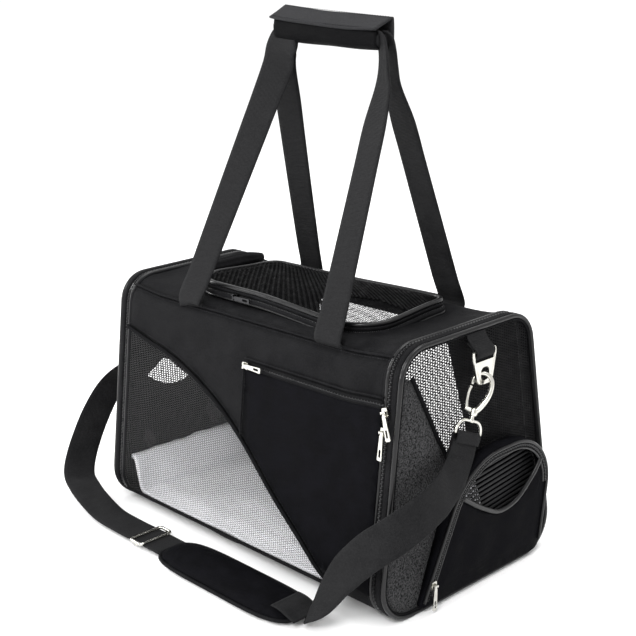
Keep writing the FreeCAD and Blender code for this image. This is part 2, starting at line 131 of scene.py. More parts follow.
def smooth_curve(points, per=12):
    """Catmull-Rom curve through points of any dimension."""
    points = np.array(points, float)
    padded = np.vstack([2 * points[0] - points[1], points, 2 * points[-1] - points[-2]])
    curve = []
    for i in range(1, len(padded) - 2):
        p0, p1, p2, p3 = padded[i - 1:i + 3]
        for t in np.linspace(0, 1, per, endpoint=False):
            curve.append(0.5 * (2 * p1 + (p2 - p0) * t + (2 * p0 - 5 * p1 + 4 * p2 - p3) * t * t
                                + (3 * p1 - p0 - 3 * p2 + p3) * t ** 3))
    curve.append(points[-1])
    return np.array(curve)


def inside(points, loop):
    """Which 2-D points lie inside a closed polyline."""
    x, y = points[:, 0], points[:, 1]
    result = np.zeros(len(points), bool)
    for (x0, y0), (x1, y1) in zip(loop, np.roll(loop, -1, axis=0)):
        crosses = (y0 > y) != (y1 > y)
        if y0 != y1:
            result ^= crosses & (x < (x1 - x0) * (y - y0) / (y1 - y0) + x0)
    return result


def distance_to(points, line):
    """Distance of each point to the nearest point of a dense polyline."""
    best = np.full(len(points), 1e9)
    for start in range(0, len(line), 200):
        part = line[start:start + 200]
        gaps = np.linalg.norm(points[:, None, :] - part[None, :, :], axis=2)
        best = np.minimum(best, gaps.min(1))
    return best


def ripple(u, v, size, seed):
    """Smooth uneven swell of about -1 to 1, with waves about size millimetres long."""
    random = np.random.RandomState(seed)
    total = np.zeros_like(u)
    for _ in range(6):
        angle, phase = random.uniform(0, math.pi), random.uniform(0, 2 * math.pi)
        wave = size * random.uniform(0.7, 1.6)
        total += np.sin((u * math.cos(angle) + v * math.sin(angle)) * 2 * math.pi / wave + phase)
    return total / 3.5


def fade(distance, width):
    """0 at the edge, 1 from width inwards."""
    t = np.clip(distance / width, 0, 1)
    return t * t * (3 - 2 * t)


class Section:
    """The bag's rounded trapezoid seen from the end, made smaller all round by inset.

    s runs along it from the middle of the floor, up the front, over the top and down the back.
    """

    def __init__(self, inset=0.0, drop=0.0, step=1.5):
        low, high = inset, HEIGHT - drop - inset
        wide = half_width(low) - inset * STRETCH
        narrow = half_width(high) - inset * STRETCH
        corners = [(0, low), (-wide, low), (-narrow, high), (narrow, high), (wide, low), (0, low)]
        bottom, top = BOTTOM_RADIUS - inset, TOP_RADIUS - inset
        line = round_corners(corners, [0, bottom, top, top, bottom, 0], closed=False, steps=14)
        self.points = resample(line, step)
        gaps = np.linalg.norm(np.diff(self.points, axis=0), axis=1)
        self.s = np.concatenate([[0], np.cumsum(gaps)])
        self.total = self.s[-1]
        run = np.gradient(self.points, axis=0)
        run /= np.linalg.norm(run, axis=1)[:, None]
        self.normals = np.stack([-run[:, 1], run[:, 0]], 1)
        self.middle = len(self.points) // 2

    def at(self, s):
        y, z = (np.interp(s, self.s, self.points[:, k]) for k in (0, 1))
        ny, nz = (np.interp(s, self.s, self.normals[:, k]) for k in (0, 1))
        return y, z, ny, nz

    def front(self, z):
        return np.interp(z, self.points[:self.middle, 1], self.s[:self.middle])

    def back(self, z):
        return self.total - self.front(z)

    def nearest(self, y, z):
        gaps = np.linalg.norm(self.points - np.array([y, z]), axis=1)
        return self.s[gaps.argmin()]

    def between(self, s0, s1, step=5.0):
        """(y, z) points from s0 to s1."""
        wanted = np.linspace(s0, s1, max(2, int(abs(s1 - s0) / step)))
        y, z, _, _ = self.at(wanted)
        return np.stack([y, z], 1)


BODY = Section(0.8, TOP_DROP)
BODY_END = Section(0.8, 1.2)


def on_body(x, s):
    """Place on the fabric body: the top hangs between the rims and rises to meet them."""
    share = s / BODY.total
    low, high = BODY.at(s), BODY_END.at(share * BODY_END.total)
    lift = fade(np.abs(x) - 150, SHELL_END - 150)
    y, z, ny, nz = ((1 - lift) * a + lift * b for a, b in zip(low, high))
    return np.stack([x, y, z], 1), np.stack([np.zeros_like(x), ny, nz], 1)


def on_end(x, side):
    """Place on the flat of an end."""
    def place(y, z):
        return np.stack([np.full_like(y, side * x), y, z], 1), np.tile([side, 0.0, 0.0], (len(y), 1))
    return place


def raised(place, lift):
    """The same place, lift millimetres proud."""
    def proud(u, v):
        points, normals = place(u, v)
        return points + normals * lift, normals
    return proud


# ------------------------------------------------------------------ mesh makers

def build(name, points, faces, finish, body, smooth=True):
    """Makes a mesh piece from millimetre points, gives it its finish and its body."""
    mesh = bpy.data.meshes.new(name)
    mesh.from_pydata([tuple(p) for p in np.array(points) * MM], [], [tuple(f) for f in faces])
    mesh.validate()
    mesh.update()
    mesh.polygons.foreach_set("use_smooth", [smooth] * len(mesh.polygons))
    piece = bpy.data.objects.new(name, mesh)
    bpy.context.scene.collection.objects.link(piece)
    mesh.materials.append(finish)
    if body:
        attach(piece, body)
    return piece


def triangles_in(outline, holes, spacing):
    """Triangles that fill a flat outline, less its holes. Returns points, triangles and edge lines."""
    loops = [resample(loop, min(spacing, 4.0), closed=True) for loop in [outline] + list(holes)]
    low, high = loops[0].min(0), loops[0].max(0)
    columns = np.arange(low[0] + spacing / 2, high[0], spacing)
    rows = np.arange(low[1] + spacing / 2, high[1], spacing)
    grid = np.array([(u + (j % 2) * spacing / 2, v) for j, v in enumerate(rows) for u in columns])
    border = np.vstack(loops)
    keep = inside(grid, loops[0]) & (distance_to(grid, border) > spacing * 0.55)
    for loop in loops[1:]:
        keep &= ~inside(grid, loop)
    edges, start = [], 0
    for loop in loops:
        count = len(loop)
        edges += [(start + i, start + (i + 1) % count) for i in range(count)]
        start += count
    flat = np.vstack([border, grid[keep]])
    result = delaunay_2d_cdt([Vector(p) for p in flat], edges, [], 0, 1e-4)
    points = np.array([tuple(p) for p in result[0]])
    triangles = np.array([tuple(f) for f in result[2]])
    centres = points[triangles].mean(1)
    good = inside(centres, loops[0])
    for loop in loops[1:]:
        good &= ~inside(centres, loop)
    triangles = triangles[good]
    used = np.unique(triangles)
    order = np.full(len(points), -1)
    order[used] = np.arange(len(used))
    return points[used], order[triangles], border


def grid_quads(rows, columns, closed=False):
    """Quads over points numbered row by row; closed joins each row's end to its start."""
    return [(i * columns + k, i * columns + (k + 1) % columns,
             (i + 1) * columns + (k + 1) % columns, (i + 1) * columns + k)
            for i in range(rows - 1) for k in range(columns if closed else columns - 1)]


def turned(faces):
    """The same faces seen from the other side."""
    return [(face[0], *face[:0:-1]) for face in faces]


def thicken(top, count):
    """Faces of a solid sheet: the top, the same turned over and count points on, and the edge."""
    used = dict.fromkeys((a, b) for face in top for a, b in zip(face, face[1:] + face[:1]))
    under = [tuple(k + count for k in face) for face in turned(top)]
    return top + under + [(b, a, a + count, b + count) for a, b in used if (b, a) not in used]


def panel(name, outline, place, finish, body, thick=1.6, holes=(), spacing=8.0, swell=None):
    """Sheet of fabric cut to a flat outline and laid in place, with a turned edge.

    place(u, v) gives points and normals; swell(u, v, distance to the edge) raises the face.
    """
    flat, triangles, border = triangles_in(outline, holes, spacing)
    a, b, c = (flat[triangles[:, k]] for k in range(3))
    turn = (b[:, 0] - a[:, 0]) * (c[:, 1] - a[:, 1]) - (b[:, 1] - a[:, 1]) * (c[:, 0] - a[:, 0])
    triangles[turn < 0] = triangles[turn < 0][:, ::-1]
    u, v = flat[:, 0], flat[:, 1]
    centre, normal = place(u, v)
    gap = distance_to(flat, border)
    rise = np.zeros(len(flat)) if swell is None else swell(u, v, gap)
    outer = centre + normal * rise[:, None]
    inner = outer - normal * thick
    sample = outer[triangles[0]]
    faces_out = np.cross(sample[1] - sample[0], sample[2] - sample[0]) @ normal[triangles[0][0]] > 0
    top = [tuple(t) for t in (triangles if faces_out else triangles[:, ::-1]).tolist()]
    return build(name, np.vstack([outer, inner]), thicken(top, len(flat)), finish, body)


def sweep(name, path, ups, profile, finish, body, closed=False):
    """Carries a closed profile of (across, out) offsets along a path."""
    path, ups = np.array(path, float), np.array(ups, float)
    if ups.ndim == 1:
        ups = np.tile(ups, (len(path), 1))
    if closed:
        run = np.roll(path, -1, axis=0) - np.roll(path, 1, axis=0)
    else:
        run = np.gradient(path, axis=0)
    run /= np.linalg.norm(run, axis=1)[:, None]
    out = ups - (ups * run).sum(1)[:, None] * run
    out /= np.linalg.norm(out, axis=1)[:, None]
    across = np.cross(run, out)
    count, sides = len(path), len(profile)
    profile = np.array(profile, float)
    if profile.ndim == 2:
        profile = np.tile(profile, (count, 1, 1))
    else:
        sides = profile.shape[1]
    points = (path[:, None, :] + across[:, None, :] * profile[:, :, :1]
              + out[:, None, :] * profile[:, :, 1:]).reshape(-1, 3)
    faces = [tuple(k % len(points) for k in quad) for quad in grid_quads(count + closed, sides, True)]
    if not closed:
        faces.append(tuple(reversed(range(sides))))
        faces.append(tuple((count - 1) * sides + k for k in range(sides)))
    return build(name, points, faces, finish, body)


def trim(name, place, line, profile, finish, body, closed=False):
    """Carries a profile along a flat line laid in place."""
    return sweep(name, *place(line[:, 0], line[:, 1]), profile, finish, body, closed)


def round_profile(radius, flatten=1.0, sides=10):
    return [(radius * math.cos(a), radius * flatten * math.sin(a))
            for a in np.linspace(0, 2 * math.pi, sides, endpoint=False)]


def strip_profile(width, thick, crown=0.0, columns=6):
    """Flat strip with rounded edges; crown lifts its middle."""
    across = np.linspace(-width / 2 + thick / 2, width / 2 - thick / 2, columns)
    rise = crown * (1 - (2 * across / width) ** 2)
    top = [(a, thick / 2 + r) for a, r in zip(across, rise)]
    low = [(a, -thick / 2 + r) for a, r in zip(across, rise)]
    return [(-width / 2, 0)] + top + [(width / 2, 0)] + low[::-1]


def blocks(name, path, ups, size, pitch, finish, body, stagger=0.0):
    """Row of small rounded blocks along a path: zip teeth or stitches. size is along, across, up."""
    path = np.array(path, float)
    ups = np.array(ups, float)
    if ups.ndim == 1:
        ups = np.tile(ups, (len(path), 1))
    both = resample(np.hstack([path, ups * 1e-3]), pitch)
    spots, normals = both[:, :3], both[:, 3:] * 1e3
    run = np.gradient(spots, axis=0)
    run /= np.linalg.norm(run, axis=1)[:, None]
    out = normals - (normals * run).sum(1)[:, None] * run
    out /= np.linalg.norm(out, axis=1)[:, None]
    across = np.cross(run, out)
    along, wide, high = (s / 2 for s in size)
    shape = [(-along, -wide, -high), (along, -wide, -high), (along, wide, -high), (-along, wide, -high),
             (-along * 0.6, -wide * 0.7, high), (along * 0.6, -wide * 0.7, high),
             (along * 0.6, wide * 0.7, high), (-along * 0.6, wide * 0.7, high)]
    sides = [(3, 2, 1, 0), (4, 5, 6, 7), (0, 1, 5, 4), (1, 2, 6, 5), (2, 3, 7, 6), (3, 0, 4, 7)]
    points, faces = [], []
    for i, spot in enumerate(spots):
        middle = spot + across[i] * stagger * (1 if i % 2 else -1)
        start = len(points)
        points += [middle + run[i] * a + across[i] * b + out[i] * c for a, b, c in shape]
        faces += [tuple(start + k for k in side) for side in sides]
    return build(name, points, faces, finish, body, smooth=False)


def stitches(name, path, ups, body, long=2.2, pitch=3.4, thick=0.5):
    """Row of thread stitches along a path."""
    blocks(name, path, ups, (long, thick, thick), pitch, THREAD, body)


def net(name, outline, place, finish, body, cell=(2.7, 2.3), hole=0.76):
    """Open knitted net: six-sided cells, each with a hole, over a flat outline."""
    wide, high = cell
    outline = np.array(outline, float)
    low, high_corner = outline.min(0), outline.max(0)
    centres = np.array([(u, v + (i % 2) * high / 2)
                        for i, u in enumerate(np.arange(low[0], high_corner[0], wide))
                        for v in np.arange(low[1], high_corner[1], high)])
    corner = [(wide * 2 / 3, 0), (wide / 3, high / 2), (-wide / 3, high / 2),
              (-wide * 2 / 3, 0), (-wide / 3, -high / 2), (wide / 3, -high / 2)]
    flat, faces, known = [], [], {}

    def vertex(u, v):
        key = (round(u, 2), round(v, 2))
        if key not in known:
            known[key] = len(flat)
            flat.append((u, v))
        return known[key]

    for u, v in centres[inside(centres, outline)]:
        outer = [vertex(u + a, v + b) for a, b in corner]
        start = len(flat)
        flat += [(u + a * hole, v + b * hole) for a, b in corner]
        faces += [(outer[k], outer[(k + 1) % 6], start + (k + 1) % 6, start + k) for k in range(6)]
    flat = np.array(flat)
    points, _ = place(flat[:, 0], flat[:, 1])
    return build(name, points, faces, finish, body)


# ------------------------------------------------------------------ finishes

class Finish:
    """A material whose nodes vary it over the object's own space."""

    def __init__(self, name):
        self.material = bpy.data.materials.new(name)
        self.material.use_nodes = True
        self.nodes = self.material.node_tree.nodes
        self.place = self.nodes.new("ShaderNodeTexCoord").outputs["Object"]

    def feed(self, node, inputs):
        """Gives inputs, by name or number, each a value or the output of another node."""
        for key, value in inputs.items():
            if isinstance(value, bpy.types.NodeSocket):
                self.material.node_tree.links.new(value, node.inputs[key])
            else:
                node.inputs[key].default_value = value

    def add(self, kind, inputs, **settings):
        node = self.nodes.new("ShaderNode" + kind)
        for key, value in settings.items():
            setattr(node, key, value)
        self.feed(node, inputs)
        return node.outputs

    def noise(self, scale, detail):
        return self.add("TexNoise", {"Scale": scale, "Detail": detail, "Vector": self.place})["Fac"]

    def join(self, operation, first, second):
        return self.add("Math", {0: first, 1: second}, operation=operation)[0]

    def ramp(self, factor, *stops):
        """Runs between two stops, each a position and a colour."""
        node = self.nodes.new("ShaderNodeValToRGB")
        for element, (position, colour) in zip(node.color_ramp.elements, stops):
            element.position, element.color = position, (*colour, 1)
        self.feed(node, {"Fac": factor})
        return node.outputs["Color"]

    def yarn(self, pitch):
        """Over-and-under weave height, from bands across all three axes."""
        x, y, z = (self.add("TexWave", {"Scale": 0.314 / (pitch * MM), "Distortion": 0.6,
                                        "Vector": self.place}, bands_direction=axis)["Fac"]
                   for axis in "XYZ")
        return self.join("ADD", self.join("ADD", x, y), z)

    def done(self, height, strength, depth, inputs):
        """The material, bumped by height and with these inputs to its shader."""
        bump = self.add("Bump", {"Strength": strength, "Distance": depth * MM, "Height": height})
        self.feed(self.nodes["Principled BSDF"], {"Normal": bump["Normal"], **inputs})
        return self.material


def fabric(name, dark, light, pitch=1.1, grain=0.35, rough=(0.62, 0.85), sheen=0.01, mottle=55.0,
           shine=0.04):
    """Woven cloth: mottled colour, yarn bump and uneven roughness."""
    cloth = Finish(name)
    broad, fine = cloth.noise(mottle, 4.0), cloth.noise(620.0, 2.0)
    tone = cloth.join("ADD", cloth.join("MULTIPLY", broad, 1 - grain), cloth.join("MULTIPLY", fine, grain))
    height = cloth.join("ADD", cloth.yarn(pitch), cloth.join("MULTIPLY", fine, 1.5))
    return cloth.done(height, 0.5, 0.22, {
        "Base Color": cloth.ramp(tone, (0.36, dark), (0.64, light)),
        "Roughness": cloth.ramp(broad, (0.3, (rough[0],) * 3), (0.7, (rough[1],) * 3)),
        "Specular IOR Level": shine, "Sheen Weight": sheen, "Sheen Roughness": 0.5})


def gloss(name, colour, rough, metallic=0.0, coat=0.0, streak=120.0, shine=0.2):
    """Moulded or plated surface with faint uneven polish."""
    surface = Finish(name)
    broad = surface.noise(streak, 5.0)
    darker = tuple(c * 0.82 for c in colour)
    inputs = {"Base Color": surface.ramp(broad, (0.3, darker), (0.7, colour)),
              "Roughness": surface.ramp(broad, (0.3, (rough * 0.7,) * 3), (0.75, (rough * 1.35,) * 3)),
              "Metallic": metallic, "Coat Weight": coat}
    if not metallic:
        inputs["Specular IOR Level"] = shine
    return surface.done(broad, 0.15, 0.1, inputs)


def fleece(name):
    """Short brushed pile."""
    cloth = Finish(name)
    pile, broad = cloth.noise(420.0, 6.0), cloth.noise(28.0, 3.0)
    height = cloth.join("ADD", pile, cloth.join("MULTIPLY", broad, 2.0))
    return cloth.done(height, 0.6, 0.9, {
        "Base Color": cloth.ramp(broad, (0.3, (0.84, 0.84, 0.87)), (0.7, (0.92, 0.92, 0.95))),
        "Roughness": 0.95, "Sheen Weight": 0.5})


SHELL = fabric("shell_fabric", (0.0034, 0.0034, 0.0040), (0.0100, 0.0100, 0.0107), sheen=0.0, shine=0.05)
POCKET = fabric("pocket_fabric", (0.0016, 0.0016, 0.0022), (0.0040, 0.0040, 0.0052), grain=0.2, sheen=0.0,
                shine=0.03)
CORNER = fabric("corner_fabric", (0.0005, 0.0005, 0.0005), (0.062, 0.062, 0.064), grain=0.7,
                mottle=420.0, rough=(0.7, 0.9))
TAPE = fabric("webbing", (0.0055, 0.0055, 0.006), (0.0135, 0.0135, 0.0142), pitch=1.6, grain=0.5, shine=0.08)
LID = fabric("lid_fabric", (0.014, 0.014, 0.015), (0.024, 0.024, 0.026), grain=0.5, shine=0.08)
WRAP = fabric("wrap_fabric", (0.0014, 0.0014, 0.0017), (0.0034, 0.0034, 0.0038), grain=0.5, sheen=0.0)
NET = gloss("net", (0.0026, 0.0026, 0.003), 0.7, shine=0.03)
RIB = gloss("rib", (0.0042, 0.0042, 0.0045), 0.75, shine=0.03)
MOUTH_RIB = gloss("mouth_rib", (0.020, 0.020, 0.021), 0.6)
# Front window's net: the same black mesh as NET, coloured lighter as painted glints of light on its threads
FRONT_NET_PAINTED_GLINT = gloss("front_net_painted_glint", (0.024, 0.024, 0.0245), 0.55)
END_NET = gloss("end_net", (0.0045, 0.0045, 0.005), 0.6, shine=0.06)
BINDING = fabric("binding", (0.0022, 0.0022, 0.0026), (0.0058, 0.0058, 0.0064), sheen=0.0)
PIPING = gloss("piping", (0.005, 0.005, 0.0055), 0.36, coat=0.2)
COIL = gloss("zip_coil", (0.024, 0.024, 0.025), 0.32, coat=0.3)
ZIP_TAPE = fabric("zip_tape", (0.003, 0.003, 0.0035), (0.007, 0.007, 0.0075))
THREAD = fabric("thread", (0.010, 0.010, 0.011), (0.026, 0.026, 0.028), grain=0.8)
NICKEL = gloss("nickel", (0.66, 0.65, 0.60), 0.20, metallic=1.0)
BLACK_NICKEL = gloss("black_nickel", (0.035, 0.035, 0.037), 0.25, metallic=1.0)
BOARD = gloss("board", (0.10, 0.10, 0.105), 0.6)
PILE = fleece("fleece")

# ------------------------------------------------------------------ fabric body

FLOOR_EDGE = node_box("floor_panel")[1][1]    # the side panels start at the edge of the flat floor
SEAM_S = float(BODY.front(SEAM_Z))
TOTAL = BODY.total
WINDOW_CURVE = [(-207.5, 213), (-121, 199), (-50, 172), (5, 138), (62, 91), (121, 47), (154, SILL_Z)]
POCKET_LEFT, POCKET_RIGHT, POCKET_TOP = 5.0, 206.0, 213.5
SIDE_SHEET = [(-SHELL_END, FLOOR_EDGE), (SHELL_END, FLOOR_EDGE), (SHELL_END, SEAM_S), (-SHELL_END, SEAM_S)]


def front_curve():
    """The window's curved edge on the front, as (x, s)."""
    line = smooth_curve(WINDOW_CURVE)
    return np.stack([line[:, 0], BODY.front(line[:, 1])], 1)


def on_front(x, z):
    """Place by (x, z) on the front."""
    return on_body(x, BODY.front(z))


def soft_swell(size, high, seed, edge=22.0, puff=0.0):
    """Swell for a fabric panel: puffs out from its edges and ripples."""
    def swell(u, v, gap):
        return fade(gap, edge) * (puff + high * ripple(u, v, size, seed))
    return swell


def make_front():
    curve = front_curve()
    sill = float(BODY.front(SILL_Z))
    outline = np.vstack([SIDE_SHEET, curve, [(-SHELL_END, sill)]])

    def swell(u, v, gap):
        """Flat under the pocket, so as not to come through it."""
        free = np.maximum(fade(POCKET_LEFT - u, 25.0), fade(v - BODY.front(POCKET_TOP + 6), 8.0))
        return fade(gap, 22) * free * (0.9 + 1.7 * ripple(u, v, 75, 3))

    front = panel("front_fabric", outline, on_body, SHELL, "shell", swell=swell)
    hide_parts("front_panel")
    trim("window_binding", raised(on_body, 1.2), resample(curve, 4), strip_profile(5.5, 2.2, 0.9), BINDING,
         "shell")
    line = resample(curve + np.array([0.0, 6.5]), 4)
    stitches("window_stitches", *raised(on_body, 1.6)(line[:, 0], line[:, 1]), "shell")
    line = resample([(-SHELL_END, sill), (WINDOW_CURVE[-1][0], sill)], 5)
    trim("sill_binding", raised(on_body, 0.9), line, strip_profile(3.5, 2.0, 0.5), SHELL, "shell")
    window = np.vstack([curve, [(-SHELL_END, sill)]])
    # The front window's net takes the lighter net colour, which is painted glint on black threads
    mesh = net("front_window_net", window, on_body, FRONT_NET_PAINTED_GLINT, "shell", cell=(3.2, 2.6), hole=0.82)
    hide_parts("front_window_mesh")


def make_back():
    """The back has its own window, framed by a binding."""
    outline = [(x, TOTAL - s) for x, s in SIDE_SHEET]
    corners = [(-130, 38), (130, 38), (104, 234), (-104, 234)]
    ring = round_corners(corners, [24] * 4)
    window = np.stack([ring[:, 0], BODY.back(ring[:, 1])], 1)
    back = panel("back_fabric", outline, on_body, SHELL, "shell", holes=[window],
                 swell=soft_swell(100, 1.1, 11, puff=0.5))
    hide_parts("back_panel")
    trim("back_window_binding", raised(on_body, 1.0), resample(window, 4, closed=True),
         strip_profile(9, 2.6, 1.0), PIPING, "shell", closed=True)
    mesh = net("back_window_net", window, on_body, NET, "shell")
    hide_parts("back_window_mesh")


HATCH_LOW, HATCH_HIGH = node_box("hatch_rim")


def hatch_outline(inset=0.0):
    """(x, y) outline of the top hatch: big round front corners, smaller ones at the hinge edge."""
    (x0, y0), (x1, y1) = HATCH_LOW[:2] + inset, HATCH_HIGH[:2] - inset
    big, small = 45.0 - inset, 20.0 - inset
    return round_corners([(x0, y0), (x1, y0), (x1, y1), (x0, y1)], [big, big, small, small], steps=12)


def hatch_sag(x, y):
    """How far the soft rim droops below its level: most at the right front corner."""
    x, y = np.asarray(x, float), np.asarray(y, float)
    right = fade(x + 20.0, HATCH_HIGH[0])
    front = fade(40.0 - y, 90.0)
    return 6.0 * right * front + 2.5 * (1 - right) * (1 - front) - 2.0 * (1 - right) * front


def make_top():
    outline = [(-SHELL_END, SEAM_S), (-SHELL_END, TOTAL - SEAM_S),
               (SHELL_END, TOTAL - SEAM_S), (SHELL_END, SEAM_S)]
    hole = hatch_outline(5.0) + np.array([0, TOTAL / 2])
    hole = np.clip(hole, [-400, TOTAL / 2 - 64], [400, 1e4])

    def swell(u, v, gap):
        across = np.abs(v - TOTAL / 2)
        pulls = 1.5 * np.sin(u / 17.0) * np.exp(-((across - 92) / 16) ** 2)
        return fade(gap, 18) * (1.9 * ripple(u, v, 70, 5) + pulls)

    top = panel("top_fabric", outline, on_body, SHELL, "shell", holes=[hole], swell=swell, spacing=7.0)
    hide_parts("top_panel")
    for s, name, step in ((SEAM_S, "front", -4.0), (TOTAL - SEAM_S, "back", 4.0)):
        line = resample([(-SHELL_END, s), (SHELL_END, s)], 5)
        trim(name + "_seam", raised(on_body, 0.7), line, strip_profile(3.2, 1.6, 0.5), SHELL, "shell")
        path, normals = raised(on_body, 1.6)(line[:, 0], line[:, 1] + step)
        stitches(name + "_seam_stitches", path, normals, "shell", 2.3, 3.6)


# ------------------------------------------------------------------ end rims and their zips

def ring_at(x, inset, drop=0.0):
    """Closed path round the bag at x, with outward normals."""
    section = Section(inset, drop, 5.0)
    s = section.s[:-1]
    y, z, ny, nz = section.at(s)
    return np.stack([np.full_like(y, x), y, z], 1), np.stack([np.zeros_like(y), ny, nz], 1)


def make_rim(side, word):
    """Shell edge binding, door zip, door band and end piping, for one end."""
    def hoop(name, x, inset, profile, finish, body, drop=0.0):
        path, normals = ring_at(side * x, inset, drop)
        return sweep("%s_%s" % (word, name), path, normals, profile, finish, body, closed=True)

    door = word + "_door"
    hoop("shell_piping", SHELL_END - 1.0, 2.2, round_profile(2.2), PIPING, "shell")
    hoop("shell_binding", 204.3, 1.7, strip_profile(5.5, 1.8, 0.6), SHELL, "shell", drop=0.8)
    tape = hoop("zip_tape", DOOR_ZIP_X, 2.2, strip_profile(7.2, 1.0), ZIP_TAPE, "shell")
    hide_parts(word + "_door_zip")
    path, normals = ring_at(side * DOOR_ZIP_X, 1.2)
    blocks(word + "_zip_coil", np.vstack([path, path[:1]]), np.vstack([normals, normals[:1]]),
           (1.5, 2.6, 1.3), 2.1, COIL, "shell", stagger=0.5)
    middle, width = (RIM_START + LENGTH_HALF - 4.0) / 2, LENGTH_HALF - 3.4 - RIM_START
    band = hoop("door_band", middle, 1.7, strip_profile(width, 2.6, 0.5), SHELL, door)
    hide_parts(word + "_rim")
    stitches(word + "_band_stitches", *ring_at(side * (RIM_START + 1.6), 0.7), door)
    hoop("end_piping", LENGTH_HALF - 2.3, 2.4, round_profile(2.4, sides=12), PIPING, door)
    hoop("inner_binding", 222.6, 5.6, strip_profile(3.6, 3.2, 0.4), SHELL, door)


# ------------------------------------------------------------------ end doors

POCKET_FOOT_X = node_box("right_pocket_panel")[0][0]
POCKET_LEAN = 9.5 / 133.0
POCKET_FOOT_Z = 7.0
CORNER_EDGE = [(-82, 246), (-63, 208), (-48, 177), (-31, 142), (-35, 98), (-60, 4)]
LEFT_VENT = [(-75, 144), (-58, 155), (-42, 162), (-24, 145), (-8, 127), (-26, 122), (-44, 124), (-60, 132)]
SCALLOPS = {"right": [(-40, 120), (-16, 102), (9, 86), (32, 76), (58, 79.5), (80, 96), (94, 113), (116, 150)],
            "left": [(-40, 104), (-16, 88), (9, 73), (32, 64), (58, 67), (80, 82), (94, 98), (116, 135)]}
D_CORNERS = {"right": [(-81, 7), (-22, 147), (117, 147), (104, 7)],
             "left": [(-81, 7), (-12, 128), (117, 128), (104, 7)]}


def d_outline(word, inset):
    """(y, z) outline of an end pocket, clockwise, with every side moved inwards."""
    corners = np.array(D_CORNERS[word], float)
    ahead = np.roll(corners, -1, axis=0) - corners
    inward = np.stack([ahead[:, 1], -ahead[:, 0]], 1) / np.linalg.norm(ahead, axis=1)[:, None]
    reach = (inward * corners).sum(1) + inset
    moved = [np.linalg.solve([inward[i - 1], inward[i]], [reach[i - 1], reach[i]]) for i in range(4)]
    return round_corners(moved, [max(r - inset, 1) for r in (3, 75, 62, 10)], steps=12)


def d_edge(word, inset, stop=84.0):
    """The outline from the zip's start, over the top and down the far side as far as stop."""
    line = resample(d_outline(word, inset), 3)
    high = line[:, 1] > 9.0 + inset
    return line[high & ((line[:, 0] < 60) | (line[:, 1] > stop))]


def pocket_face(z):
    return POCKET_FOOT_X + 1.6 + POCKET_LEAN * (z - POCKET_FOOT_Z)


def on_pocket(side, lift=0.0):
    def place(y, z):
        points = np.stack([side * (pocket_face(z) + lift), y, z], 1)
        normal = np.array([side, 0, -POCKET_LEAN])
        return points, np.tile(normal / np.linalg.norm(normal), (len(y), 1))
    return place


def make_end_cover(side, word):
    """Mesh over the whole end, with fabric over part of it."""
    door = word + "_door"
    inner = Section(4.0)
    ring = inner.between(0, inner.total, 6.0)[:-1]
    mesh = net(word + "_end_net", ring, on_end(NET_X, side), END_NET, door, cell=(3.4, 2.9), hole=0.58)
    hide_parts(word + "_end_mesh")
    if word == "right":
        start, end = inner.nearest(*CORNER_EDGE[-1]), inner.nearest(*CORNER_EDGE[0])
        edge = smooth_curve(CORNER_EDGE, 8)
        outline = np.vstack([inner.between(start, end), edge[1:-1]])
        holes = []
    else:
        edge = resample(smooth_curve(LEFT_VENT + LEFT_VENT[:1], 6), 3, closed=True)
        outline, holes = ring, [edge]
    cover = panel(word + "_corner_fabric", outline, on_end(COVER_X, side), CORNER, door, thick=0.9,
                  holes=holes, swell=soft_swell(70, 0.8, 21, puff=0.8))
    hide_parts(word + "_end_panel")
    trim(word + "_corner_binding", on_end(TRIM_X, side), edge, strip_profile(5.0, 2.2, 0.5), BINDING, door,
         closed=bool(holes))


def make_gusset(side, word):
    """The pocket's side wall, from the door's fabric out to the pocket's face."""
    ring = resample(np.roll(d_outline(word, 0.0), -1, axis=0), 4, closed=True)
    wall, _ = on_end(TRIM_X, side)(ring[:, 0], ring[:, 1])
    face, _ = on_pocket(side, -0.6)(ring[:, 0], ring[:, 1])
    away = np.stack([np.zeros(len(ring)), *(ring - ring.mean(0)).T], 1)
    away *= 1.2 / np.linalg.norm(away, axis=1)[:, None]
    points = np.vstack([wall, (wall + face) / 2 + away, face])
    faces = thicken(grid_quads(3, len(ring), closed=True), len(points))
    points = np.vstack([points, points - np.tile(away, (3, 1))])
    gusset = build(word + "_pocket_gusset", points, faces, POCKET, word + "_door")
    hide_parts(word + "_pocket_zip")


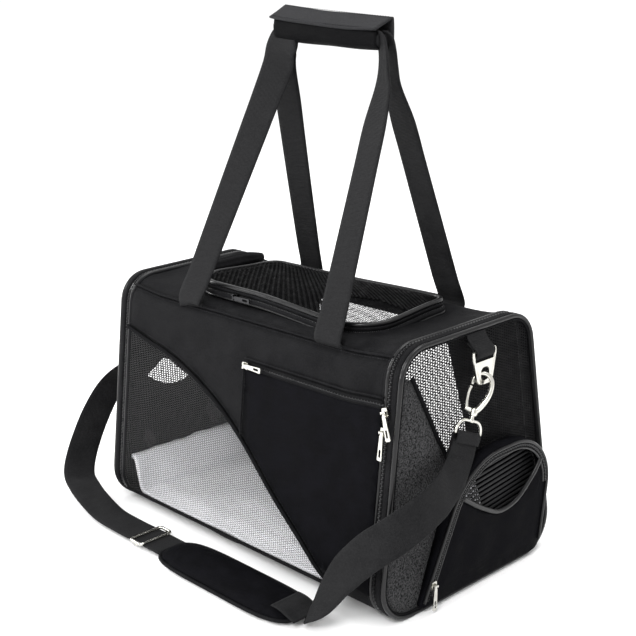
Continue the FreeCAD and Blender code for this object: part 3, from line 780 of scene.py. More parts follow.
def make_end_pocket(side, word):
    """Slip pocket with a scooped mouth, ribs behind it, and a zip round its edge."""
    door = word + "_door"
    scallop = smooth_curve(SCALLOPS[word], 10)
    top = [(scallop[-1][0], 260), (scallop[0][0], 260)]
    cut = np.vstack([scallop, top])
    outline = d_outline(word, 1.0)
    pouch = panel(word + "_pocket_fabric", outline, on_pocket(side, -0.4), POCKET, door, thick=1.0,
                  holes=[cut], spacing=6.0, swell=soft_swell(60, 1.3, 31, puff=2.2, edge=30))
    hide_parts(word + "_pocket_panel")
    backing = d_outline(word, 7.0)
    backing = backing[(backing[:, 0] > 18.0 - 0.35 * (backing[:, 1] - 86)) & (backing[:, 1] > 40)]
    backing = np.vstack([[(34, 40)], backing])
    panel(word + "_pocket_backing", backing, on_end(223.0, side), POCKET, door, thick=0.5)
    for i, z in enumerate(np.arange(62.0, 146.0, 5.4)):
        ys = np.arange(-80.0, 112.0, 2.0)
        line = np.stack([ys, z + 0.10 * ys], 1)
        line = line[inside(line, d_outline(word, 5.0))]
        if len(line) > 3:
            trim("%s_pocket_rib_%02d" % (word, i), on_end(224.4, side), line, strip_profile(3.3, 0.9, 0.3, 4),
                 MOUTH_RIB, door)
    lip = scallop[inside(scallop, d_outline(word, 4.0))]
    trim(word + "_pocket_lip", on_pocket(side, 0.6), lip, round_profile(2.6, 0.8), PIPING, door)
    make_gusset(side, word)
    for inset, radius, name, stop in ((1.2, 1.7, "outer", 16.0), (8.4, 1.2, "inner", 84.0)):
        trim(word + "_pocket_piping_" + name, on_pocket(side, 0.3), d_edge(word, inset, stop),
             round_profile(radius), PIPING, door)
    line = d_edge(word, 4.8)
    trim(word + "_pocket_zip_tape", on_pocket(side, 0.5), line, strip_profile(6.4, 0.8), ZIP_TAPE, door)
    path, normals = on_pocket(side, 1.0)(line[:, 0], line[:, 1])
    blocks(word + "_pocket_zip_coil", path, normals, (1.4, 2.4, 1.0), 2.0, COIL, door, stagger=0.4)


def make_tab(side, word):
    """Webbing tab that holds the plate ring, folded round its bar."""
    low, high = node_box(word + "_strap_tab")
    centre_y = (low[1] + high[1]) / 2
    x_in, x_out = 223.6, max(abs(low[0]), abs(high[0])) - 0.9
    line = [(x_in, 269.5), (x_in + 2.5, 265), (x_in + 6.5, 260), (x_out - 0.6, 254), (x_out - 1.6, 248),
            (x_out - 4, 247.8), (x_out - 6, 250), (x_out - 6, 256), (x_in + 0.6, 261)]
    path = smooth_curve([(side * x, centre_y, z) for x, z in line], 6)
    run = np.gradient(path, axis=0)
    ups = np.cross(np.tile([0, side, 0], (len(path), 1)), run) * -1
    tab = sweep(word + "_tab_webbing", path, ups, strip_profile(27.5, 1.5), TAPE, word + "_door")
    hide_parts(word + "_strap_tab")


# ------------------------------------------------------------------ front pocket

def make_front_pocket():
    """Flat pocket cut along the window's curve, with its zip under the top seam."""
    curve = smooth_curve(WINDOW_CURVE)
    run = curve[(curve[:, 0] > POCKET_LEFT) & (curve[:, 1] > 34)]
    outline = np.vstack([[(POCKET_LEFT, POCKET_TOP)], run + np.array([3.0, 3.5]),
                         [(POCKET_RIGHT, 31), (POCKET_RIGHT, POCKET_TOP)]])
    pouch = panel("front_pocket_fabric", outline, raised(on_front, 1.6), POCKET, "shell", thick=1.0,
                  swell=soft_swell(90, 0.9, 41, puff=1.4, edge=34), spacing=7.0)
    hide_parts("front_pocket_panel")
    line = resample([(POCKET_LEFT + 1, POCKET_TOP + 3.2), (POCKET_RIGHT, POCKET_TOP + 3.2)], 4)
    tape = trim("front_pocket_zip_tape", raised(on_front, 1.6), line, strip_profile(8.0, 0.8), ZIP_TAPE,
                "shell")
    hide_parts("front_pocket_zip")
    path, normals = raised(on_front, 2.1)(line[:, 0], line[:, 1])
    blocks("front_pocket_coil", path, normals, (1.4, 2.2, 0.9), 2.0, COIL, "shell", stagger=0.4)
    for offset, radius, name in ((-1.4, 1.3, "lower"), (7.0, 1.2, "upper")):
        trim("front_pocket_%s_fold" % name, raised(on_front, 2.0), line + np.array([0, offset]),
             round_profile(radius), SHELL, "shell")
    edge = resample([(POCKET_LEFT, POCKET_TOP + 2), (POCKET_LEFT, 140)], 4)
    trim("front_pocket_side_fold", raised(on_front, 1.8), edge, round_profile(1.2), SHELL, "shell")
    path, normals = raised(on_front, 3.0)(edge[:, 0] + 3.2, edge[:, 1])
    stitches("front_pocket_stitches", path, normals, "shell")


# ------------------------------------------------------------------ top hatch

def level_path(line, z):
    """3-D path at height z over an (x, y) line, less the hatch's sag."""
    return np.column_stack([line, z - hatch_sag(line[:, 0], line[:, 1])])


def make_hatch():
    """Curb on the body, stiff rim and ribbed net on the hatch."""
    def ring(inset, z):
        return level_path(resample(hatch_outline(inset), 4, closed=True), z), UP

    def hoop(name, inset, z, profile, finish, body):
        return sweep(name, *ring(inset, z), profile, finish, body, closed=True)

    curb_low, curb_high = node_box("hatch_curb")
    curb = hoop("hatch_curb_band", 2.6, (curb_low[2] + curb_high[2]) / 2 - 0.6,
                [(-2.0, -3.6), (2.4, -3.6), (2.2, 2.2), (-2.0, 2.2)], SHELL, "shell")
    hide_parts("hatch_curb")
    hoop("hatch_curb_roll", 1.6, curb_low[2] + 2.6, round_profile(3.4, 1.1, 12), SHELL, "shell")
    hoop("hatch_curb_piping", -1.0, curb_low[2] + 0.2, round_profile(1.2), PIPING, "shell")
    blocks("hatch_zip_coil", *ring(0.2, curb_high[2] - 0.9), (1.5, 1.4, 2.2), 2.1, COIL, "shell",
           stagger=0.2)
    low, high = HATCH_LOW[2], HATCH_HIGH[2]
    rim = hoop("hatch_rim_binding", 3.2, high - 2.3, round_profile(3.1, 0.85, 12), PIPING, "hatch")
    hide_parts("hatch_rim")
    hoop("hatch_rim_band", 2.4, low + 2.2, [(-1.2, -1.9), (1.8, -1.9), (1.8, 1.9), (-1.2, 1.9)], SHELL,
         "hatch")
    stitches("hatch_rim_stitches", *ring(0.5, low + 3.4), "hatch")
    cover = net("hatch_net", hatch_outline(4.5), on_hatch, NET, "hatch", cell=(2.7, 2.4), hole=0.66)
    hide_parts("hatch_mesh")
    border = hatch_outline(5.0)
    plain = np.array([(108, -70), (58, -8), (98, 3), (160, -7), (160, -70)])
    reach = np.arange(-110.0, 110.0, 2.0)
    profile = strip_profile(2.7, 0.9, 0.25, 4)
    for i, x in enumerate(np.arange(HATCH_LOW[0] - 60.0, HATCH_HIGH[0] + 60.0, 7.4)):
        slant = math.radians(-44.0 + 15.0 * np.clip((x + 60.0) / 175.0, 0, 1))
        line = np.stack([x + reach * math.cos(slant), reach * math.sin(slant) - 8.0], 1)
        line = line[inside(line, border) & ~inside(line, plain)]
        if len(line) > 3:
            path = level_path(line, HATCH_NET_Z + 0.7)
            sweep("hatch_rib_%02d" % i, path, UP, profile, RIB, "hatch")


def on_hatch(x, y):
    """Place by (x, y) on the hatch's net."""
    return np.stack([x, y, HATCH_NET_Z - hatch_sag(x, y)], 1), np.tile(UP, (len(x), 1))


def make_rolled_cover():
    """The hatch's privacy flap, rolled up beside it in flattened turns."""
    low, high = node_box("rolled_cover")
    centre, radius = (low + high) / 2, (high[2] - low[2]) / 2
    ys = np.linspace(low[1] + 1, high[1] - 1, 26)
    turns, samples = 2.6, 96
    angles = np.linspace(0.5 * math.pi, 0.5 * math.pi + turns * 2 * math.pi, samples)
    grow = np.linspace(0.52, 0.98, samples)
    rows = []
    for y in ys:
        pinch = 1 - 0.6 * abs(2 * (y - centre[1]) / (high[1] - low[1])) ** 3
        wave = 0.35 * math.sin(y / 9.0)
        folds = grow * (1 + 0.05 * np.sin(9 * angles + y / 40.0))
        rows.append([(centre[0] + radius * 0.99 * g * math.cos(a) * pinch,
                      y, centre[2] + (radius - 1.5) * g * math.sin(a) * pinch + wave * g)
                     for a, g in zip(angles, folds)])
    rows = np.array(rows)
    inner = rows.copy()
    for axis in (0, 2):
        inner[:, :, axis] = centre[axis] + (rows[:, :, axis] - centre[axis]) * 0.90
    points = np.vstack([rows.reshape(-1, 3), inner.reshape(-1, 3)])
    faces = thicken(grid_quads(len(ys), samples), len(ys) * samples)
    roll = build("rolled_flap", points, faces, SHELL, "shell")
    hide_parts("rolled_cover")


# ------------------------------------------------------------------ handles and grip

FOOT_X = (-100.0, 120.0)
# How far each leg bows in x and how far its face turns, in degrees, by the foot of its gather
LEGS = {("front", "left"): (2.0, 15.0), ("front", "right"): (2.0, -14.0),
        ("back", "left"): (-3.0, 6.0), ("back", "right"): (-2.0, -8.0)}
# The gathers under the grip: place, face direction and share of the full width
GATHERS = {
    ("front", "left"): [((-31, -9.5, 514), (0.25, -1, 0.2), 1.04), ((-26, -9, 531), (0.15, -1, 0.2), 1.08),
                        ((-20, -8, 541), (0.1, -1, 0.3), 1.1), ((-15, -6, 550), (0, -1, 0.3), 0.7)],
    ("back", "left"): [((-43, 9.5, 514), (-0.1, 1, 0.2), 0.95), ((-39, 9, 531), (-0.1, 1, 0.2), 0.86),
                       ((-31, 8, 541), (0, 1, 0.3), 0.72), ((-23, 6, 550), (0, 1, 0.3), 0.5)],
    ("front", "right"): [((121, -8.5, 500), (-0.25, -1, 0.2), 0.72),
                         ((121.5, -7.5, 517), (-0.3, -1, 0.1), 0.5),
                         ((120.5, -6.5, 533), (-0.3, -1, 0), 0.42), ((117, -5.5, 545), (-0.2, -1, -0.3), 0.4),
                         ((111, -3, 551), (-0.1, -0.6, -0.8), 0.36)],
    ("back", "right"): [((119, 8.5, 500), (0.15, 1, 0.2), 0.66), ((119.5, 7.5, 517), (0.2, 1, 0.1), 0.46),
                        ((119, 6.5, 533), (0.2, 1, 0), 0.4), ((116, 5.5, 545), (0.1, 1, 0.3), 0.38),
                        ((110, 3, 551), (0.1, 0.6, 0.8), 0.34)]}
GRIP_TILT = math.radians(3.7)
FOOT_Y, FOOT_Z = 91.8, SEAM_Z + 5.0
GRIP_LEFT, GRIP_RIGHT = -37.0, 117.0
GRIP_MIDDLE = np.array([(GRIP_LEFT + GRIP_RIGHT) / 2, 0.0, 548.0])


def tilted(points):
    """Turns grip points about its middle so that the left end is higher."""
    points = np.array(points, float) - GRIP_MIDDLE
    c, s = math.cos(GRIP_TILT), math.sin(GRIP_TILT)
    x, z = points[:, 0] * c + points[:, 2] * s, -points[:, 0] * s + points[:, 2] * c
    return np.stack([x, points[:, 1], z], 1) + GRIP_MIDDLE


def make_leg(name, side, foot_x, bow, turn, gather):
    """One upright of a handle: sewn into the top seam, turning as it rises, gathered into the grip."""
    gather = [tuple(np.array(value, float) for value in station) for station in gather]
    foot, top, face = np.array([foot_x, side * FOOT_Y, FOOT_Z]), gather[0][0], np.array([0.0, side, 0.25])
    stations = [(foot + np.array([0, -side * 3.0, -6.0]), face, 1.0)]
    stations.append((foot + np.array([0, 0, 3.0]), face, 1.0))
    for t in (0.12, 0.3, 0.5, 0.7, 0.86):
        swing, angle = math.sin(math.pi * t), math.radians(turn) * t
        centre = foot + (top - foot) * t + np.array([bow * swing, side * 2.0 * swing, 0])
        stations.append((centre, np.array([-side * math.sin(angle), side * math.cos(angle), 0.25]), 1.0))
    rows = smooth_curve([np.concatenate([centre, facing * 30, [width * 30]])
                         for centre, facing, width in stations + gather], 8)
    narrow = np.stack([rows[:, 6] / 30, np.ones(len(rows))], 1)
    flat = np.array(strip_profile(WEBBING, 2.4, 0.0, 10))
    body = name.rsplit("_", 1)[0]
    return sweep(name, rows[:, :3], rows[:, 3:6], flat[None] * narrow[:, None, :], TAPE, body)


def make_handles():
    for side, word in ((-1, "front"), (1, "back")):
        body = word + "_handle"
        for foot_x, place in zip(FOOT_X, ("left", "right")):
            bow, turn = LEGS[word, place]
            leg = make_leg(body + "_" + place, side, foot_x, bow, turn, GATHERS[word, place])
        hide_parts(word + "_handle_webbing")
        line = [(x, side * 5.2, 548.5 + 1.2 * math.sin((x - GRIP_LEFT) / 20))
                for x in np.linspace(GRIP_LEFT + 3, GRIP_RIGHT - 1, 24)]
        sweep(word + "_handle_bar", tilted(line), np.array([0.0, side, 0.0]),
              strip_profile(17, 9.5, 0.6), TAPE, body)


def grip_shell(name, section, finish, body, bow, thick=2.2, shy=0.0, rise=0.0):
    """Rounded shell over the grip: a (y, z) section carried along X.

    bow and rise move the start of the section, mostly in the middle or at the right end.
    """
    line = resample(section, 2.5)
    xs = np.linspace(GRIP_LEFT + shy, GRIP_RIGHT - shy * 0.3, 40)
    count = len(line)
    run = np.gradient(line, axis=0)
    run /= np.linalg.norm(run, axis=1)[:, None]
    away = np.stack([-run[:, 1], run[:, 0]], 1)
    rows_out, rows_in = [], []
    for x in xs:
        t = 2 * (x - GRIP_MIDDLE[0]) / (GRIP_RIGHT - GRIP_LEFT)
        sag = (bow * (1 - t * t) + rise * (t + 1) / 2) * np.linspace(1, 0, count)
        wave = 0.35 * np.sin(x / 15.0 + np.arange(count) * 0.3)
        outer = np.stack([np.full(count, x), line[:, 0] + away[:, 0] * wave,
                          line[:, 1] + away[:, 1] * wave + sag], 1)
        rows_out.append(outer)
        rows_in.append(outer - np.stack([np.zeros(count), away[:, 0], away[:, 1]], 1) * thick)
    points = np.vstack([np.array(rows_out).reshape(-1, 3), np.array(rows_in).reshape(-1, 3)])
    faces = thicken(turned(grid_quads(len(xs), count)), len(xs) * count)
    return build(name, tilted(points), faces, finish, body)


def make_grip():
    top = [(-14.0, 560.6), (11.8, 572.6)]
    lid = round_corners([top[0], top[1], (12.6, 562), (12.4, 541)], [0, 2.5, 0, 0], closed=False)
    piece = grip_shell("grip_lid_fabric", lid, LID, "back_handle", bow=-2.4, thick=2.0)
    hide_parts("grip_lid")
    wrap = round_corners([(-11.2, 558), (-12.2, 541), (-4, 536), (9.6, 538)], [0, 9, 6, 0], closed=False)
    piece = grip_shell("grip_wrap_fabric", wrap[::-1], WRAP, "front_handle", bow=-2.0, shy=5.0, rise=5.0)
    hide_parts("grip_wrap")
    for i, share in enumerate((0.10, 0.84)):
        y = top[0][0] + (top[1][0] - top[0][0]) * share
        z = top[0][1] + (top[1][1] - top[0][1]) * share
        xs = np.linspace(GRIP_LEFT + 4, GRIP_RIGHT - 4, 40)
        t = 2 * (xs - GRIP_MIDDLE[0]) / (GRIP_RIGHT - GRIP_LEFT)
        line = [(x, y, z + 0.15 + sag) for x, sag in zip(xs, -2.4 * (1 - t * t) * (1 - share))]
        stitches("grip_stitches_%d" % i, tilted(line), np.array([0, -0.4, 1.0]), "back_handle", 2.4, 3.6)


# ------------------------------------------------------------------ shoulder strap

RIGHT_RUN = [((234.5, -20.5, 166.4), (1, 0, 0)), ((236, -30, 150), (1, -0.1, 0)),
             ((241, -48, 136), (0.97, -0.25, 0.1)),
             ((249, -74, 129), (0.87, -0.45, 0.1)), ((251, -104, 121), (0.8, -0.6, 0.1)),
             ((241, -131, 107), (0.45, -0.85, 0.15)), ((221, -144, 89), (0.2, -0.95, 0.2)),
             ((198, -155, 62), (0.1, -0.9, 0.4)), ((178, -163, 30), (0.1, -0.7, 0.7)),
             ((160, -168, 9.5), (0.1, -0.2, 0.97))]
LEFT_RUN = [((-234.5, -20.5, 166.4), (-1, 0, 0)), ((-237.5, -24, 160.5), (-0.95, 0, 0.25)),
            ((-247, -33, 156), (-0.62, -0.1, 0.75)), ((-262, -48, 151), (-0.65, -0.2, 0.72)),
            ((-276, -66, 139), (-0.8, 0, 0.55)), ((-286, -84, 118), (-0.93, 0.2, 0.3)),
            ((-292, -102, 90), (-0.93, 0.25, 0.1)), ((-296, -117, 60), (-0.9, 0.2, -0.15)),
            ((-293, -131, 35), (-0.75, 0.1, -0.5)), ((-280, -143, 21), (-0.5, 0.1, -0.8)),
            ((-256, -152, 16), (-0.25, 0.05, -0.95)), ((-222, -161, 12), (-0.1, 0, -1)),
            ((-182, -167, 6.8), (0, 0, -1)), ((-145, -168, 5.8), (0, 0, -1)), ((-112, -168, 6), (0, 0, -1))]
STRAP_Y = -168.0
STRAP_PROFILE = strip_profile(WEBBING, 1.8, 0.0, 10)
HOOK_UP = np.array([0.0, 0.41, 0.912]) / math.hypot(0.41, 0.912)
HOOK_TOP = np.array([HARDWARE_X, 4.3, 221.7])
HOOK_TURN = 48.0


def hook_frame(side, degrees=0.0):
    """Places (level, up, facing) millimetres of hanging hardware turned about its swivel, and gives
    its facing direction.
    """
    c, s = math.cos(math.radians(degrees)), math.sin(math.radians(degrees))
    level = np.array([0.0, HOOK_UP[2], -HOOK_UP[1]])
    across = level * c + np.array([s, 0, 0])
    facing = np.array([c, 0, 0]) - level * s
    flip = np.array([side, 1, 1])

    def place(points):
        return np.array([(HOOK_TOP + across * a + HOOK_UP * b + facing * f) * flip for a, b, f in points])
    return place, facing * flip


def make_wire(name, path, up, radii, body, closed=False, flatten=1.0):
    """Round wire whose radius may change along it."""
    sizes = np.interp(np.linspace(0, 1, len(path)), np.linspace(0, 1, len(radii)), radii)
    profile = np.array(round_profile(1.0, flatten, 12))[None] * sizes[:, None, None]
    return sweep(name, path, up, profile, NICKEL, body, closed=closed)


def make_hardware(side, word):
    """Snap hook, its gate, the swivel, the strap's half ring and the tab's plate ring."""
    place, facing = hook_frame(side, HOOK_TURN)
    hook = word + "_snap_hook"
    body = [(-8.6, -4, 0), (-8.4, 1, 0), (-5.5, 6.6, 0), (0, 9, 0), (6, 7.4, 0), (9.6, 2.6, 0), (10.6, -5, 0),
            (9.6, -13, 0), (6.6, -21, 0), (3.2, -27, 0), (0, -30, 0)]
    radii = [1.7, 2.1, 2.2, 2.3, 2.7, 3.0, 3.0]
    wire = make_wire(hook + "_wire", smooth_curve(place(body), 8), facing, radii, hook)
    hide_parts(hook)
    heel = [(-9, -27.6, 0), (-5, -28.6, 0), (0, -29.4, 0), (3, -28.6, 0)]
    make_wire(hook + "_heel", smooth_curve(place(heel), 6), facing, [2.1, 2.7, 3.4, 2.4], hook)
    collar = [(0, -25.6, 0), (0, -27, 0), (0, -31, 0), (0, -33.6, 0)]
    make_wire(hook + "_collar", smooth_curve(place(collar), 6), facing, [2.0, 3.9, 4.4, 3.6], hook)
    gate = [(-8, -27.2, 0), (-9.2, -20, 0), (-9.6, -12, 0), (-8.7, -5.6, 0)]
    lever = make_wire(word + "_gate_lever", smooth_curve(place(gate), 8), facing, [1.8, 1.5, 1.4, 1.6],
                      word + "_hook_gate", flatten=0.8)
    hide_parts(word + "_hook_gate")
    place, ahead = hook_frame(side)
    loop = round_corners([(-20.4, -53), (20.4, -53), (17.8, -38.9), (-17.8, -38.9)], [3, 3, 12, 12])
    loop = place([(a, b, 0) for a, b in resample(loop, 1.5, closed=True)])
    ring = make_wire(word + "_half_ring", loop, ahead, [1.7, 1.7], word + "_door", closed=True)
    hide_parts(word + "_strap_ring")
    pin = place([(0, b, 0) for b in (-40.4, -38.0, -36.6, -34.0, -31.0)])
    make_wire(word + "_swivel_pin", pin, ahead, [3.3, 3.4, 2.4, 2.0, 2.0], word + "_door")
    for sign, edge in ((-1, "near"), (1, "far")):
        line = [(side * HARDWARE_X, 8.0 + sign * a, z)
                for a, z in ((15.8, 254), (15.6, 247), (12.4, 236), (8.4, 223), (5.0, 220.6))]
        make_wire("%s_plate_edge_%s" % (word, edge), smooth_curve(line, 6), ahead, [1.6, 1.6],
                  word + "_tab_ring")


def make_strap_run(word, stations, narrow):
    """One end of the strap, swept through its stations with its last stretch narrowed to narrow of its width;
    the piece is attached to no body.
    """
    both = smooth_curve([(*centre, *(np.array(normal) * 30)) for centre, normal in stations], 10)
    taper = np.interp(np.arange(len(both)), [0, len(both) - 22, len(both) - 1], [1, 1, narrow])
    profile = np.array(STRAP_PROFILE)[None] * np.stack([taper, np.ones_like(taper)], 1)[:, None, :]
    strap = sweep(word + "_strap_webbing", both[:, :3], both[:, 3:], profile, TAPE, None)
    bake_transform(strap)
    return strap


def make_strap_loop(word, side):
    """The strap's end folded round the half ring and stitched down."""
    place, ahead = hook_frame(side)
    fold = [(0, -78, -3.2), (0, -64, -3.4), (0, -54, -3.3), (0, -50.2, 0), (0, -54, 3.3), (0, -62, 2.8)]
    path = smooth_curve(place(fold), 8)
    level = np.array([0.0, HOOK_UP[2], -HOOK_UP[1]])
    ups = np.cross(np.gradient(path, axis=0), np.tile(level, (len(path), 1)))
    sweep(word + "_strap_fold", path, ups, strip_profile(WEBBING - 1.0, 1.5, 0.0, 6), TAPE, word + "_door")
    line = place([(a, -76.0, 2.2) for a in np.linspace(-17, 17, 12)])
    stitches(word + "_strap_stitches", line, ahead, word + "_door", 2.4, 3.2, thick=0.6)


def settle(name, outline, bottom, top, finish, pressure, cap, voxel=0.005, steps=20):
    """Swells a flat block into a stuffed pad by cloth simulation."""
    ring = resample(outline, 6, closed=True)
    count = len(ring)
    points = np.vstack([np.column_stack([ring, np.full(count, z)]) for z in (bottom, top)])
    faces = [tuple(reversed(range(count))), tuple(range(count, 2 * count))]
    faces += grid_quads(2, count, closed=True)
    piece = build(name, points, faces, finish, None)
    remesh = piece.modifiers.new("even", "REMESH")
    remesh.mode, remesh.voxel_size = "VOXEL", voxel
    apply_modifiers(piece)
    before = np.array([v.co for v in piece.data.vertices])
    cloth = piece.modifiers.new("cloth", "CLOTH")
    cloth.settings.use_pressure = True
    cloth.settings.uniform_pressure_force = pressure
    cloth.settings.effector_weights.gravity = 0.0
    cloth.settings.quality = 6
    cloth.point_cache.frame_start, cloth.point_cache.frame_end = 1, steps
    for step in range(1, steps + 1):
        bpy.context.scene.frame_set(step)
    apply_modifiers(piece)
    after = np.array([v.co for v in piece.data.vertices])
    moved = after - before
    far = np.linalg.norm(moved, axis=1)
    scale = np.minimum(1, cap * MM / np.maximum(far, 1e-9))
    after = before + moved * scale[:, None]
    piece.data.vertices.foreach_set("co", after.astype(np.float32).ravel())
    bpy.context.scene.frame_set(1)
    return piece


def apply_modifiers(piece):
    bpy.context.view_layer.update()
    graph = bpy.context.evaluated_depsgraph_get()
    fresh = bpy.data.meshes.new_from_object(piece.evaluated_get(graph))
    old = piece.data
    piece.modifiers.clear()
    piece.data = fresh
    bpy.data.meshes.remove(old)
    fresh.polygons.foreach_set("use_smooth", [True] * len(fresh.polygons))


def subdivide(piece):
    modifier = piece.modifiers.new("smooth", "SUBSURF")
    modifier.levels = modifier.render_levels = 1
    apply_modifiers(piece)


def hold_to_floor(piece, low):
    """Flattens a settled piece where it rests."""
    count = len(piece.data.vertices)
    co = np.empty(count * 3, np.float32)
    piece.data.vertices.foreach_get("co", co)
    co = co.reshape(-1, 3)
    co[:, 2] = np.maximum(co[:, 2], low * MM)
    piece.data.vertices.foreach_set("co", co.ravel())
    piece.data.update()


def make_pad():
    """Blunt-ended stuffed pad lying on the floor, with piping round its middle."""
    low, high = node_box("shoulder_pad")
    middle, reach = (low[0] + high[0]) / 2 - 2.0, (high[0] - low[0]) / 2 + 1.0
    around = np.linspace(0, 2 * math.pi, 90, endpoint=False)
    c, s = np.cos(around), np.sin(around)
    outline = np.stack([middle + reach * np.sign(c) * np.abs(c) ** 0.42,
                        STRAP_Y + 29.5 * np.sign(s) * np.abs(s) ** 0.6], 1)
    pad = settle("shoulder_pad_cover", outline, 2.2, 9.5, POCKET, 3.0, 6.0)
    hold_to_floor(pad, 0.7)
    subdivide(pad)
    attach(pad, "shoulder_pad")
    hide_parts("shoulder_pad")
    ring = resample(outline, 4, closed=True)
    path = np.column_stack([ring, np.full(len(ring), 5.4)])
    sweep("shoulder_pad_piping", path, UP, round_profile(1.9), SHELL, "shoulder_pad", closed=True)


def make_adjuster():
    """Three-bar slide: a plated wire frame with a wire bar across its middle."""
    low, high = node_box("strap_adjuster")
    z = high[2] - 1.0
    (x0, y0), (x1, y1) = low[:2] + (1.8, 2.0), high[:2] - (1.8, 2.0)
    loop = resample(round_corners([(x0, y0), (x1, y0), (x1, y1), (x0, y1)], [4] * 4), 1.5, closed=True)
    path = np.column_stack([loop, np.full(len(loop), z)])
    ring = make_wire("adjuster_frame", path, UP, [1.8, 1.8], "strap_adjuster", closed=True)
    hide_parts("strap_adjuster")
    x = (low[0] + high[0]) / 2
    bar = [(x, y, z - 3.4) for y in np.linspace(low[1] + 1.5, high[1] - 1.5, 8)]
    make_wire("adjuster_bar", bar, UP, [1.4, 1.4], "strap_adjuster")


def make_strap():
    for word, side, run, narrow in (("right", 1, RIGHT_RUN, 0.62), ("left", -1, LEFT_RUN, 1.0)):
        strap = make_strap_run(word, run, narrow)
        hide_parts("shoulder_strap_" + word)
        make_strap_loop(word, side)
    line = resample([(-112, STRAP_Y, 6.0), (-56, STRAP_Y, 6.0)], 6)
    middle = sweep("middle_strap_webbing", line, UP, STRAP_PROFILE, TAPE, "shell")
    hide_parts("shoulder_strap_middle")
    line = smooth_curve([(x, STRAP_Y, z) for x, z in ((128, 16.0), (140, 15.6), (152, 12.0), (161, 9.6))], 5)
    sweep("pad_end_webbing", line, UP, STRAP_PROFILE, TAPE, "shell")
    make_pad()
    make_adjuster()


# ------------------------------------------------------------------ inside

def make_inside():
    """Fleece bed: a floor that meets the front sill, with walls up the back and both ends."""
    low, high = node_box("fleece_pad")
    xs = np.linspace(low[0] + 1, high[0] - 1, 130)
    front = -116.5
    ys = np.linspace(front, half_width(high[2]) - 9.0, 90)
    u, v = (grid.ravel() for grid in np.meshgrid(xs, ys, indexing="ij"))
    wall = np.minimum(np.minimum(u - xs[0], xs[-1] - u), ys[-1] - v)
    wall = wall + 2.0 * ripple(u, v, 60, 9)
    floor = 24.0 + 1.6 * ripple(u, v, 70, 7) - 5.5 * (1 - fade(v - front, 26.0))
    top = high[2] - 2.0 + 1.5 * ripple(u, v, 45, 8)
    z = floor + (top - floor) * (1 - fade(wall - 8.0, 13.0))
    pad = build("fleece_bed", np.stack([u, v, z], 1), turned(grid_quads(len(xs), len(ys))), PILE, None)
    thick = pad.modifiers.new("thick", "SOLIDIFY")
    thick.thickness, thick.offset = 0.005, -1.0
    apply_modifiers(pad)
    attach(pad, "shell")
    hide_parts("fleece_pad")


def finish_cad_nodes():
    """Plated hardware, base board and floor keep their CAD shapes and get real finishes."""
    plated = ("slider", "pull", "tab_ring", "snap_hook", "hook_gate", "strap_ring", "strap_adjuster")
    for name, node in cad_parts.items():
        finish = {"base_board": BOARD, "floor_panel": SHELL}.get(name)
        if any(word in name for word in plated):
            finish = BLACK_NICKEL if name.startswith("hatch_slider") else NICKEL
        if finish:
            for slot in node.material_slots:
                slot.material = finish


# ------------------------------------------------------------------ studio

def area_light(name, place, aim, size, power):
    data = bpy.data.lights.new(name, "AREA")
    data.shape, data.size, data.energy = "DISK", size, power
    light = bpy.data.objects.new(name, data)
    light.location = place
    light.rotation_euler = (Vector(aim) - Vector(place)).to_track_quat("-Z", "Y").to_euler()
    bpy.context.scene.collection.objects.link(light)


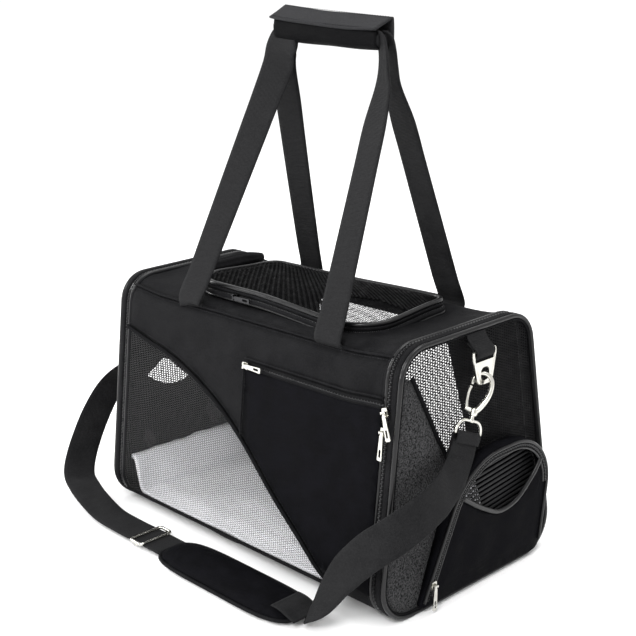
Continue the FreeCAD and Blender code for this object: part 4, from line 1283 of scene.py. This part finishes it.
def make_studio():
    """Pale floor, white surroundings and soft lamps."""
    mesh = bpy.data.meshes.new("studio_floor")
    mesh.from_pydata([(-60, -60, 0), (60, -60, 0), (60, 60, 0), (-60, 60, 0)], [], [(0, 1, 2, 3)])
    floor = bpy.data.objects.new("studio_floor", mesh)
    bpy.context.scene.collection.objects.link(floor)
    pale = Finish("pale_floor")
    pale.feed(pale.nodes["Principled BSDF"], {"Base Color": (0.97, 0.97, 0.97, 1), "Roughness": 0.9})
    mesh.materials.append(pale.material)
    world = bpy.data.worlds.new("studio")
    bpy.context.scene.world = world
    world.use_nodes = True
    world.node_tree.nodes["Background"].inputs["Color"].default_value = (1, 1, 1, 1)
    world.node_tree.nodes["Background"].inputs["Strength"].default_value = 1.0
    area_light("key", (1.2, -2.0, 2.2), (0, 0, 0.2), 1.2, 55)
    area_light("rim_left", (-2.2, -0.8, 1.2), (0, 0, 0.25), 0.9, 28)
    area_light("top", (0.2, 0.6, 2.6), (0, 0, 0.3), 1.5, 30)
    area_light("window", (-1.0, -2.2, 0.8), (-0.1, 0, 0.05), 0.5, 22)
    sun = bpy.data.lights.new("sky", "SUN")
    sun.energy, sun.angle = 0.35, math.radians(60)
    lamp = bpy.data.objects.new("sky", sun)
    bpy.context.scene.collection.objects.link(lamp)
    bpy.context.scene.view_settings.view_transform = "Standard"


def make_camera():
    """Looks at the bag from its right front, a little above."""
    azimuth, elevation, roll = (math.radians(a) for a in (47.392, 16.394, -2.0004))
    target, distance = Vector((0.003536, 0.003844, 0.242551)), 1.37277
    back = Vector((math.sin(azimuth) * math.cos(elevation), -math.cos(azimuth) * math.cos(elevation),
                   math.sin(elevation)))
    right = (-back).cross(Vector((0, 0, 1))).normalized()
    up = right.cross(-back)
    tilted_right = right * math.cos(roll) + up * math.sin(roll)
    tilted_up = up * math.cos(roll) - right * math.sin(roll)
    data = bpy.data.cameras.new("camera")
    data.sensor_width, data.lens = 36.0, 70.84
    camera = bpy.data.objects.new("camera", data)
    turn = Matrix((tilted_right, tilted_up, back)).transposed()
    camera.matrix_world = Matrix.Translation(target + back * distance) @ turn.to_4x4()
    bpy.context.scene.collection.objects.link(camera)
    bpy.context.scene.camera = camera


# ------------------------------------------------------------------ all of it

make_front()
make_back()
make_top()
make_front_pocket()
make_hatch()
make_rolled_cover()
for end_side, end_word in ((1, "right"), (-1, "left")):
    make_rim(end_side, end_word)
    make_end_cover(end_side, end_word)
    make_end_pocket(end_side, end_word)
    make_tab(end_side, end_word)
    make_hardware(end_side, end_word)
make_handles()
make_grip()
make_strap()
make_inside()
finish_cad_nodes()
make_studio()
make_camera()
